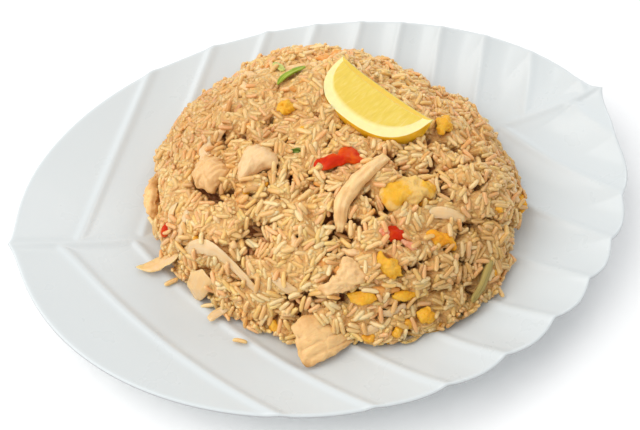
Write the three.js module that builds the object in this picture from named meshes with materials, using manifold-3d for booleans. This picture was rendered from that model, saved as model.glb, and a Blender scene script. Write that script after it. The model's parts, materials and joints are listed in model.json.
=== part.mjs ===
// A leaf-shaped white porcelain dish with a heap of fried rice and what was fried with it.
// Millimetres, +Z up. The foot ring stands on Z = 0 and the dish is centred on X = 0, Y = 0.
// +X points to the tip of the leaf and -X to its stalk end.

import * as THREE from 'three';
import { mergeGeometries, mergeVertices } from 'three/addons/utils/BufferGeometryUtils.js';
import Module from 'manifold-3d';

const wasm = await Module();
wasm.setup();

const TURN = 2 * Math.PI;
const radians = THREE.MathUtils.degToRad;
const { clamp, lerp, smoothstep } = THREE.MathUtils;

// Dish: driving dimensions
const DISH_HALF_LENGTH = 147;
const DISH_HALF_WIDTH = 113.5;
const LEAF_BEND = 5; // how far both ends of the leaf lie to +Y of its middle
const FLOOR_HEIGHT = 7;
const RIM_HEIGHT = 26.5;
const FLOOR_SHARE = 0.42; // flat floor, as a share of the way to the rim
const WALL_CURVE = 1.6; // power of the wall's rise from the floor to the rim
const FLOOR_THICKNESS = 4.2;
const RIM_THICKNESS = 3.2;
const FOOT_INSIDE = 0.535; // foot ring, as shares of the way to the rim
const FOOT_OUTSIDE = 0.575;
const FOOT_SLANT = 0.012;

// Leaf relief: midrib, side ribs, dished panels between them, lobed rim and two tips
const RIB_RISE = 1.1;
const RIB_HALF_WIDTH = 2.4;
const RIB_LEAN = 0.36;
const RIB_CURL = 0.12;
const PANEL_DIP = 0.5; // depth of a panel near the stalk
const PANEL_DIP_MORE = 1.3; // and what it gains towards the tip
const UPPER_RIBS = { side: 1, first: -0.81, step: 0.195, count: 10 };
const LOWER_RIBS = { side: -1, first: -0.86, step: 0.218, count: 9 };
const STALK_BEARING = 176;
const TIP_BEARING = 8.5;
const STALK_REACH = 0.022; // how far each tip stands out, as a share of the rim's distance
const TIP_REACH = 0.032;
const TIP_SPREAD = 3.2; // degrees
const LOBE_DEPTH = 2.2;
const TIP_LIFT = 3;
const TIP_LIFT_SPREAD = 24; // degrees
const MIDRIB_FROM = -0.88; // ends of the midrib's own row of points, along the leaf
const MIDRIB_TO = 0.955;
const MIDRIB_POINTS = 24;
const RING_SHARES = [0.1, 0.36, 0.5, 0.62, 0.74, 0.86, 0.96];

// Heap of rice: a dome, square-shouldered and slightly out of round
const HEAP_X = 5.3;
const HEAP_Y = 10.3;
const HEAP_REACH = 86.7;
const HEAP_RISE = 50;
const HEAP_SQUARENESS = 2.3;
const HEAP_COLUMNS = 88;
const HEAP_ROWS = 21;
const HEAP_EDGE = 0.6; // thickness of its thin edge on the dish
const HEAP_ROLL = 1;
const GAP = 0.3; // between neighbours that touch
const BED_GAP = 0.4; // between a topping and the rice under it
const FACET_ROOM = 0.5; // more room where the dish's flat facets stand above its true curve

// Clumps and hollows of the heap: bearing in degrees, slope from 0 at the top to 1 at the
// foot, spread and rise in millimetres
const CLUMPS = [
  { bearing: -35, slope: 0.47, spread: 14, rise: 4 },
  { bearing: -171, slope: 0.24, spread: 11, rise: 2 },
  { bearing: -118, slope: 0.3, spread: 13, rise: 3 },
  { bearing: -94, slope: 0.54, spread: 12, rise: 3 },
  { bearing: -70, slope: 0.58, spread: 11, rise: 2 },
  { bearing: -157, slope: 0.54, spread: 13, rise: 3 },
  { bearing: -169, slope: 0.41, spread: 7, rise: -4 },
  { bearing: -143, slope: 0.47, spread: 6, rise: -4 },
  { bearing: -104, slope: 0.4, spread: 6, rise: -4 },
  { bearing: -45, slope: 0.24, spread: 9, rise: -4 },
  { bearing: -18, slope: 0.4, spread: 9, rise: -4 },
  { bearing: -101, slope: 0.69, spread: 8, rise: -4 },
  { bearing: 60, slope: 0.3, spread: 22, rise: 2 },
];

// Rice
const GRAIN_LENGTH = 9;
const GRAIN_WIDTH = 2.9;
const BUMP_RISE = 1.6;
const HIGH_BUMPS = 0.42; // share of the points that stand high
const CROWDED_ROWS = 7; // rows near the top whose points share bumps
const COVER_REACH = 5; // a topping keeps the bumps low this far from its points
const LOOSE_GRAINS_ON_HEAP = 34;
const GRAIN_HOLD = 0.25; // least share of a loose grain's volume that is in the heap
const SEED = 7;

const COLOURS = {
  porcelain: 0xe4e7e7,
  rice: 0xe3b781,
  lemon: 0xf0d160,
  chicken: 0xdfad71,
  onion: 0xebcf98,
  egg: 0xeaa832,
  tomato: 0xd5440f,
  greens: 0x9aac40,
};

const vector = (x, y, z) => new THREE.Vector3(x, y, z);
const LEVEL = vector(0, 0, 1); // direction out of a level face

// Seeded random numbers from 0 to 1
function randomSource(seed) {
  let state = seed;
  return () => {
    state = (Math.imul(state, 1664525) + 1013904223) >>> 0;
    return state / 4294967296;
  };
}

// Closed solid from rings of points, all of one length, in order from the first end to the
// last. A ring of one point is a pole. Seen from before the first ring they run
// anticlockwise, and the faces then point outwards.
function ringSolid(rings) {
  const positions = [];
  const starts = [];
  for (const ring of rings) {
    starts.push(positions.length / 3);
    for (const point of ring) positions.push(point.x, point.y, point.z);
  }
  const index = [];
  for (let r = 0; r + 1 < rings.length; r += 1) {
    const here = rings[r].length;
    const next = rings[r + 1].length;
    for (let i = 0; i < Math.max(here, next); i += 1) {
      const a = starts[r] + (i % here);
      const b = starts[r + 1] + (i % next);
      const c = starts[r + 1] + ((i + 1) % next);
      const d = starts[r] + ((i + 1) % here);
      if (next > 1) index.push(a, b, c);
      if (here > 1) index.push(a, c, d);
    }
  }
  const geometry = new THREE.BufferGeometry();
  geometry.setAttribute('position', new THREE.Float32BufferAttribute(positions, 3));
  geometry.setIndex(index);
  return geometry;
}

// Leaves out the triangles that merging has closed up to a line
function withoutFlatTriangles(geometry) {
  const merged = mergeVertices(geometry, 1e-4);
  const source = merged.index.array;
  const index = [];
  for (let i = 0; i < source.length; i += 3) {
    const [a, b, c] = [source[i], source[i + 1], source[i + 2]];
    if (a !== b && b !== c && c !== a) index.push(a, b, c);
  }
  merged.setIndex(index);
  return merged;
}

function toSolid(geometry) {
  const merged = withoutFlatTriangles(geometry);
  return new wasm.Manifold(new wasm.Mesh({
    numProp: 3,
    vertProperties: new Float32Array(merged.attributes.position.array),
    triVerts: new Uint32Array(merged.index.array),
  }));
}

function toGeometry(solid) {
  const mesh = solid.getMesh();
  const geometry = new THREE.BufferGeometry();
  geometry.setAttribute('position', new THREE.BufferAttribute(mesh.vertProperties, 3));
  geometry.setIndex(new THREE.BufferAttribute(mesh.triVerts, 1));
  return geometry;
}

function pointsOf(geometry) {
  const { position } = geometry.attributes;
  return Array.from({ length: position.count }, (_, i) => vector().fromBufferAttribute(position, i));
}

// The largest body of a solid: a cut can leave loose scraps beside it
function largestBody(solid) {
  const bodies = solid.decompose();
  return bodies.reduce((best, body) => (body.volume() > best.volume() ? body : best));
}

// Dish. A place on it is (u, v) in a disc: u along the leaf, v across, and the rim at
// distance 1. The share of the way to the rim is the distance from the middle.

function midribPlace(u) {
  return 0.105 + 0.037 * u + 0.07 * Math.exp(-(((u - 0.65) / 0.25) ** 2));
}

function ribPlace(ribs, line, away) {
  const u = ribs.first + line * ribs.step + away * (RIB_LEAN + RIB_CURL * away);
  return { u, v: midribPlace(u) + ribs.side * away };
}

// Number of ribs before (u, v) on its side of the midrib, with a fraction between two ribs
function ribCount(u, v) {
  const away = Math.abs(v - midribPlace(u));
  const ribs = v > midribPlace(u) ? UPPER_RIBS : LOWER_RIBS;
  const spine = u - away * (RIB_LEAN + RIB_CURL * away);
  return { count: (spine - ribs.first) / ribs.step, ribs, away };
}

// Height of the leaf relief: ridges along the ribs and panels dished between them, deeper
// towards the tip of the leaf, fading out on the floor
function relief(u, v) {
  const share = Math.hypot(u, v);
  const { count, ribs, away } = ribCount(u, v);
  const nearest = clamp(Math.round(count), 0, ribs.count - 1);
  const ribDistance = Math.abs(count - nearest) * ribs.step * DISH_HALF_LENGTH * 0.9;
  const midribDistance = away * DISH_HALF_WIDTH;
  const distance = Math.min(ribDistance, midribDistance);
  const ridge = RIB_RISE * Math.exp(-((distance / RIB_HALF_WIDTH) ** 2));
  const depth = PANEL_DIP + PANEL_DIP_MORE * smoothstep(u, -0.2, 0.9);
  const dish = depth * (count > 0 ? (1 - Math.cos(TURN * count)) / 2 : 0) * smoothstep(away, 0, 0.14);
  return (ridge - dish) * smoothstep(share, 0.46, 0.64);
}

function wallHeight(share) {
  const climb = Math.max(0, (share - FLOOR_SHARE) / (1 - FLOOR_SHARE));
  return FLOOR_HEIGHT + (RIM_HEIGHT - FLOOR_HEIGHT) * climb ** WALL_CURVE;
}

const angleBetween = (a, b) => Math.abs(THREE.MathUtils.euclideanModulo(a - b + 180, 360) - 180);

function tipLift(share, bearing) {
  const nearest = Math.min(angleBetween(bearing, STALK_BEARING), angleBetween(bearing, TIP_BEARING));
  return TIP_LIFT * Math.exp(-((nearest / TIP_LIFT_SPREAD) ** 2)) * share ** 4;
}

// Reach of the rim against a plain oval: two pointed tips, and lobes between the rib ends
function rimReach(u, v) {
  const bearing = THREE.MathUtils.radToDeg(Math.atan2(v, u));
  const stalk = STALK_REACH * Math.exp(-angleBetween(bearing, STALK_BEARING) / TIP_SPREAD);
  const tip = TIP_REACH * Math.exp(-angleBetween(bearing, TIP_BEARING) / TIP_SPREAD);
  const { count } = ribCount(u, v);
  const lobe = Math.abs(Math.sin(Math.PI * count)) - 1;
  const depth = (LOBE_DEPTH / DISH_HALF_WIDTH) * smoothstep(u, -0.25, 0.6);
  return 1 + stalk + tip + depth * lobe;
}

// Point over (u, v) at a height, with the rim's own outline faded in towards the rim
function dishPoint(u, v, height) {
  const share = Math.hypot(u, v);
  const reach = lerp(1, rimReach(u / share, v / share), smoothstep(share, 0.7, 1));
  return vector(
    DISH_HALF_LENGTH * u * reach,
    DISH_HALF_WIDTH * v * reach + LEAF_BEND * u * u,
    height,
  );
}

function topHeight(u, v) {
  const bearing = THREE.MathUtils.radToDeg(Math.atan2(v, u));
  const share = Math.hypot(u, v);
  return wallHeight(share) + relief(u, v) + tipLift(share, bearing);
}

// Height at which things rest on the dish at a point, clear of its ribs and facets
function restHeight(x, y) {
  const u = x / DISH_HALF_LENGTH;
  const share = Math.hypot(u, (y - LEAF_BEND * u * u) / DISH_HALF_WIDTH);
  return wallHeight(share) + GAP + (RIB_RISE + FACET_ROOM) * smoothstep(share, 0.32, 0.6);
}

// Point between two places: the direction and the distance from the middle both blend
function blendPlaces(p, q, share) {
  const u = lerp(p.u, q.u, share);
  const v = lerp(p.v, q.v, share);
  const scale = lerp(Math.hypot(p.u, p.v), Math.hypot(q.u, q.v), share) / Math.hypot(u, v);
  return { u: u * scale, v: v * scale };
}

// How far from the midrib a rib meets the rim
function ribEnd(ribs, line) {
  const isInside = (away) => {
    const { u, v } = ribPlace(ribs, line, away);
    return Math.hypot(u, v) < 1;
  };
  let inside = isInside(0.5) ? 0.5 : 0;
  let outside = 1.4;
  for (let step = 0; step < 40; step += 1) {
    const middle = (inside + outside) / 2;
    if (isInside(middle)) inside = middle;
    else outside = middle;
  }
  return outside;
}

// A column runs from the midrib, at share 0, to the rim, at share 1
function ribColumn(ribs, line) {
  const end = ribEnd(ribs, line);
  return { rib: true, place: (share) => ribPlace(ribs, line, share * end) };
}

function straightColumn(start, bearing) {
  const from = { u: start, v: midribPlace(start) };
  const angle = radians(bearing);
  const to = { u: Math.cos(angle), v: Math.sin(angle) };
  const place = (share) => ({ u: lerp(from.u, to.u, share), v: lerp(from.v, to.v, share) });
  return { rib: false, bearing, place };
}

// Columns all the way round, anticlockwise from the tip of the leaf
function dishColumns() {
  const main = [straightColumn(MIDRIB_TO, TIP_BEARING)];
  for (let line = UPPER_RIBS.count - 1; line >= 0; line -= 1) main.push(ribColumn(UPPER_RIBS, line));
  for (const bearing of [133, 149, 164]) main.push(straightColumn(-0.86, bearing));
  main.push(straightColumn(MIDRIB_FROM, STALK_BEARING));
  for (const bearing of [188, 204, 223]) main.push(straightColumn(MIDRIB_FROM, bearing));
  for (let line = 0; line < LOWER_RIBS.count; line += 1) main.push(ribColumn(LOWER_RIBS, line));
  const columns = [];
  let stalk = 0;
  main.forEach((column, i) => {
    if (column.bearing === STALK_BEARING) stalk = columns.length;
    const next = main[(i + 1) % main.length];
    const shares = column.rib || next.rib ? [0, 0.15, 0.5, 0.85] : [0, 0.4, 0.7];
    for (const share of shares) {
      columns.push((ring) => blendPlaces(column.place(ring), next.place(ring), share));
    }
  });
  return { columns, stalk };
}

// Triangles between two rows of points that run side by side, the inner row on the left of
// the outer one. direction is the sign in which both rows run along X.
function bandBetween(inner, outer, direction) {
  const positions = [];
  const ahead = (row, i) => (i + 1 < row.length ? direction * row[i + 1].x : Infinity);
  let i = 0;
  let j = 0;
  while (i + 1 < inner.length || j + 1 < outer.length) {
    const stepInner = ahead(inner, i) < ahead(outer, j);
    const third = stepInner ? inner[i + 1] : outer[j + 1];
    for (const point of [inner[i], outer[j], third]) positions.push(point.x, point.y, point.z);
    if (stepInner) i += 1;
    else j += 1;
  }
  const geometry = new THREE.BufferGeometry();
  geometry.setAttribute('position', new THREE.Float32BufferAttribute(positions, 3));
  return geometry;
}

function dishGeometry() {
  const { columns, stalk } = dishColumns();
  const topPoint = ({ u, v }) => dishPoint(u, v, topHeight(u, v));
  const topRing = (ring) => columns.map((place) => topPoint(place(ring)));
  const firstRing = topRing(RING_SHARES[0]);
  const midrib = Array.from({ length: MIDRIB_POINTS }, (_, i) => {
    const u = lerp(MIDRIB_TO, MIDRIB_FROM, i / (MIDRIB_POINTS - 1));
    return topPoint({ u, v: midribPlace(u) });
  });
  const spine = [firstRing[0], ...midrib, firstRing[stalk]];
  const upperHalf = firstRing.slice(0, stalk + 1);
  const lowerHalf = [...firstRing.slice(stalk), firstRing[0]];
  // Rings below the top face lie under the rim outline, scaled towards the middle
  const lowerRing = (share, height) => columns.map((place) => {
    const { u, v } = place(1);
    return dishPoint(u * share, v * share, height(u * share, v * share));
  });
  const underside = (u, v) => {
    const share = Math.hypot(u, v);
    return topHeight(u, v) - lerp(FLOOR_THICKNESS, RIM_THICKNESS, share);
  };
  const ground = () => 0;
  const shell = ringSolid([
    ...RING_SHARES.map(topRing),
    lowerRing(0.99, (u, v) => topHeight(u, v)),
    lowerRing(1, (u, v) => topHeight(u, v) - RIM_THICKNESS * 0.5),
    lowerRing(0.985, underside),
    lowerRing(0.78, underside),
    lowerRing(FOOT_OUTSIDE + FOOT_SLANT, underside),
    lowerRing(FOOT_OUTSIDE, ground),
    lowerRing(FOOT_INSIDE, ground),
    lowerRing(FOOT_INSIDE - FOOT_SLANT, () => FLOOR_HEIGHT - FLOOR_THICKNESS),
    [vector(0, 0, FLOOR_HEIGHT - FLOOR_THICKNESS)],
  ]);
  return withoutFlatTriangles(mergeGeometries([
    shell.toNonIndexed(),
    bandBetween(spine, upperHalf, -1),
    bandBetween([...spine].reverse(), lowerHalf, 1),
  ]));
}

// Heap of rice

function heapReach(bearing) {
  return HEAP_REACH + 2.9 * Math.cos(2 * bearing + radians(74))
    + 1.6 * Math.cos(3 * bearing + radians(153));
}

// Outward direction at a bearing and slope, both in radians
function outwards(bearing, tilt) {
  return vector(
    Math.sin(tilt) * Math.cos(bearing),
    Math.sin(tilt) * Math.sin(bearing),
    Math.cos(tilt),
  );
}

function domePoint(bearing, tilt) {
  const power = 2 / HEAP_SQUARENESS;
  const across = heapReach(bearing) * Math.max(0, Math.sin(tilt)) ** power;
  return vector(
    HEAP_X + across * Math.cos(bearing),
    HEAP_Y + across * Math.sin(bearing),
    FLOOR_HEIGHT + HEAP_RISE * Math.max(0, Math.cos(tilt)) ** power,
  );
}

const clumpPlaces = CLUMPS.map((clump) => ({
  ...clump,
  place: domePoint(radians(clump.bearing), clump.slope * TURN / 4),
}));

// Surface of the heap: the dome, its clumps and hollows, and a slow roll of the whole
function heapPoint(bearing, tilt, lift = 0) {
  const point = domePoint(bearing, tilt);
  const roll = Math.sin(5 * bearing + 4 * tilt) + 0.8 * Math.sin(9 * bearing - 7 * tilt + 1);
  let rise = lift + HEAP_ROLL * roll * smoothstep(tilt, 0.1, 0.6);
  for (const clump of clumpPlaces) {
    rise += clump.rise * Math.exp(-((point.distanceTo(clump.place) / clump.spread) ** 2));
  }
  return point.addScaledVector(outwards(bearing, tilt), rise);
}

// Where the heap's side meets the dish at a bearing, as a tilt
function footTilt(bearing) {
  let above = TURN / 8;
  let below = TURN / 4;
  for (let step = 0; step < 30; step += 1) {
    const middle = (above + below) / 2;
    const point = domePoint(bearing, middle);
    if (point.z > restHeight(point.x, point.y) + HEAP_EDGE) above = middle;
    else below = middle;
  }
  return above;
}

// Rises of neighbouring points in pairs, so that each bump is as long as a grain
function grainBumps(random) {
  const bumps = Array.from({ length: HEAP_ROWS }, () => new Array(HEAP_COLUMNS).fill(null));
  const steps = [[0, 1], [1, 0], [1, 1], [1, -1]];
  for (let row = 0; row < HEAP_ROWS; row += 1) {
    for (let column = 0; column < HEAP_COLUMNS; column += 1) {
      if (bumps[row][column] === null) {
        const [down, along] = steps[Math.floor(random() * steps.length)];
        const high = random() < HIGH_BUMPS;
        const rise = BUMP_RISE * (high ? 0.6 + 0.8 * random() : -0.7 * random());
        const mate = (column + along + HEAP_COLUMNS) % HEAP_COLUMNS;
        bumps[row][column] = rise;
        if (high && row + down < HEAP_ROWS && bumps[row + down][mate] === null) {
          bumps[row + down][mate] = rise;
        }
      }
    }
  }
  return bumps;
}

// The heap's surface, raised by lift, with its bumps kept low where a topping lies on it
function heapGeometry(coverPoints, lift = 0) {
  const bumps = grainBumps(randomSource(SEED));
  const covered = (point) => coverPoints.some((cover) => cover.distanceTo(point) < COVER_REACH);
  const bearings = Array.from({ length: HEAP_COLUMNS }, (_, i) => (i / HEAP_COLUMNS) * TURN);
  const rings = [[heapPoint(0, 0, lift)]];
  for (let row = 1; row <= HEAP_ROWS; row += 1) {
    rings.push(bearings.map((bearing, column) => {
      const tilt = footTilt(bearing) * (row / HEAP_ROWS) ** 0.9;
      // Points crowd together at the top of the heap, so neighbours there share a bump
      const shared = Math.max(1, Math.round(CROWDED_ROWS / row));
      const bump = bumps[row - 1][column - (column % shared)];
      const limit = row === HEAP_ROWS || covered(heapPoint(bearing, tilt)) ? 0 : BUMP_RISE * 2;
      const point = heapPoint(bearing, tilt, Math.min(bump, limit) + lift);
      point.z = Math.max(point.z, restHeight(point.x, point.y) + HEAP_EDGE);
      return point;
    }));
  }
  const restOnDish = (point, share) => {
    const x = lerp(HEAP_X, point.x, share);
    const y = lerp(HEAP_Y, point.y, share);
    return vector(x, y, restHeight(x, y));
  };
  const foot = rings[HEAP_ROWS];
  rings.push(foot.map((point) => restOnDish(point, 0.97)));
  rings.push(foot.map((point) => restOnDish(point, 0.55)));
  rings.push([vector(HEAP_X, HEAP_Y, FLOOR_HEIGHT + GAP)]);
  return ringSolid(rings);
}

// Place on the heap with its own axes: out of the surface, down the slope and sideways.
// turn swings the last two about the first, in degrees, and pitch tips the piece's length
// out of the surface.
function heapSeat({ bearing, slope, lift = 0, turn = 0, pitch = 0 }) {
  const angle = radians(bearing);
  const tilt = slope * TURN / 4;
  const step = 0.04;
  const origin = heapPoint(angle, tilt, lift);
  const down = heapPoint(angle, tilt + step).sub(heapPoint(angle, tilt - step)).normalize();
  const side = heapPoint(angle + step, tilt).sub(heapPoint(angle - step, tilt)).normalize();
  const out = down.clone().cross(side).normalize();
  const length = down.clone().applyAxisAngle(out, radians(turn));
  const width = out.clone().cross(length).normalize();
  length.applyAxisAngle(width, radians(-pitch));
  return { origin, length, width, out: length.clone().cross(width).normalize() };
}

// Flat uneven piece. radii give its outline in equal steps of angle as shares of half its
// length and width, crown is how far its middle stands above its edge.
function flake(seat, { length, width, thick, crown = 0.3, radii }, grow = 0) {
  const rim = (share, height) => radii.map((radius, i) => {
    const angle = (i / radii.length) * TURN;
    const reach = radius * share;
    return seat.origin.clone()
      .addScaledVector(seat.length, (length / 2 + grow) * reach * Math.cos(angle))
      .addScaledVector(seat.width, (width / 2 + grow) * reach * Math.sin(angle))
      .addScaledVector(seat.out, height);
  });
  const half = thick / 2 + grow;
  const middle = half * (1 + crown);
  const pole = (height) => [seat.origin.clone().addScaledVector(seat.out, height)];
  return ringSolid([
    pole(middle), rim(0.75, half), rim(1, 0), rim(0.75, -half), pole(-middle),
  ]);
}

// Strand along a smooth curve through points: an oval section that tapers to both ends
function strand(points, { width, thick, taper = 0.35, sides = 5, steps = 7, flat }, grow = 0) {
  const curve = new THREE.CatmullRomCurve3(points);
  const rings = [];
  const ends = [curve.getPoint(0), curve.getPoint(1)];
  ends[0].addScaledVector(curve.getTangent(0), -grow - 0.4);
  ends[1].addScaledVector(curve.getTangent(1), grow + 0.4);
  rings.push([ends[0]]);
  for (let step = 0; step <= steps; step += 1) {
    const along = step / steps;
    const centre = curve.getPoint(along);
    const tangent = curve.getTangent(along);
    const across = flat.clone().cross(tangent).normalize();
    const up = tangent.clone().cross(across);
    const size = 1 - taper * Math.abs(2 * along - 1) ** 3;
    rings.push(Array.from({ length: sides }, (_, i) => {
      const angle = -(i / sides) * TURN;
      return centre.clone()
        .addScaledVector(across, (width / 2 * size + grow) * Math.cos(angle))
        .addScaledVector(up, (thick / 2 * size + grow) * Math.sin(angle));
    }));
  }
  rings.push([ends[1]]);
  return ringSolid(rings);
}

// Strand whose points lie on the heap at bearing, slope and lift
function heapStrand(places, section, grow) {
  const points = places.map(([bearing, slope, lift]) => (
    heapPoint(radians(bearing), slope * TURN / 4, lift)));
  const [bearing, slope] = places[Math.floor(places.length / 2)];
  const flat = outwards(radians(bearing), slope * TURN / 4);
  return strand(points, { ...section, flat }, grow);
}

// Lemon wedge: a slice of a whole lemon from end to end. Its ridge is the lemon's axis, and
// two cut faces spread from it to the rind. The upper face lies nearly level. The core is
// cut off along the ridge, which leaves a narrow band beside the upper face.
const LEMON = {
  stalkEnd: vector(22.2, 55, 60),
  tipEnd: vector(51.8, -1, 61),
  radius: 27,
  opening: 48,
  faceDip: 4,
  coreWidth: 0.2, // width and drop of the cut-off core, as shares of the radius
  coreDrop: 0.08,
  squareness: 2.4, // of the outline from end to end
  steps: 10,
};

function lemonWedge(grow = 0) {
  const { stalkEnd, tipEnd, radius, opening, faceDip, coreWidth, coreDrop } = LEMON;
  const { squareness, steps } = LEMON;
  const along = tipEnd.clone().sub(stalkEnd).normalize();
  const level = along.clone().cross(LEVEL).normalize();
  const face = level.applyAxisAngle(along, radians(faceDip));
  const turned = (angle) => face.clone().applyAxisAngle(along, radians(angle));
  const rings = [];
  for (let step = 0; step <= steps; step += 1) {
    const share = -Math.cos((step / steps) * Math.PI);
    const bulge = Math.max(0, 1 - Math.abs(share) ** squareness) ** (1 / squareness);
    const centre = stalkEnd.clone().lerp(tipEnd, (share + 1) / 2)
      .addScaledVector(along, share * grow)
      .addScaledVector(turned(opening / 2), -grow * 1.8);
    if (step === 0 || step === steps) {
      rings.push([centre.addScaledVector(face, 0.1 * radius)]);
    } else {
      const reach = radius * bulge + grow * 3;
      const ray = (angle, distance) => centre.clone().addScaledVector(turned(angle), distance);
      rings.push([
        ray(opening, reach),
        ray(opening / 2, reach),
        ray(0, reach),
        ray(0, 0.6 * reach),
        ray(0, coreWidth * radius * bulge),
        ray(90, coreDrop * radius * bulge),
      ]);
    }
  }
  return ringSolid(rings);
}

// Strand whose points lie on the dish at x, y, each with its height above the dish
function dishStrand(places, section, grow) {
  const points = places.map(([x, y, lift]) => vector(x, y, restHeight(x, y) + lift));
  return strand(points, { ...section, flat: LEVEL }, grow);
}

const ROUND = [1, 0.95, 1, 1.05, 0.95, 1, 1.05, 0.92];
const RAGGED = [1, 0.8, 1.1, 0.85, 1.05, 0.75, 1, 0.9];

// Toppings. Each is a function of how much it is grown: the grown copy keeps the gap to its
// neighbours.
const heapFlake = (seat, size) => (grow) => flake(heapSeat(seat), size, grow);
const heapStrip = (places, section) => (grow) => heapStrand(places, section, grow);

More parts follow.
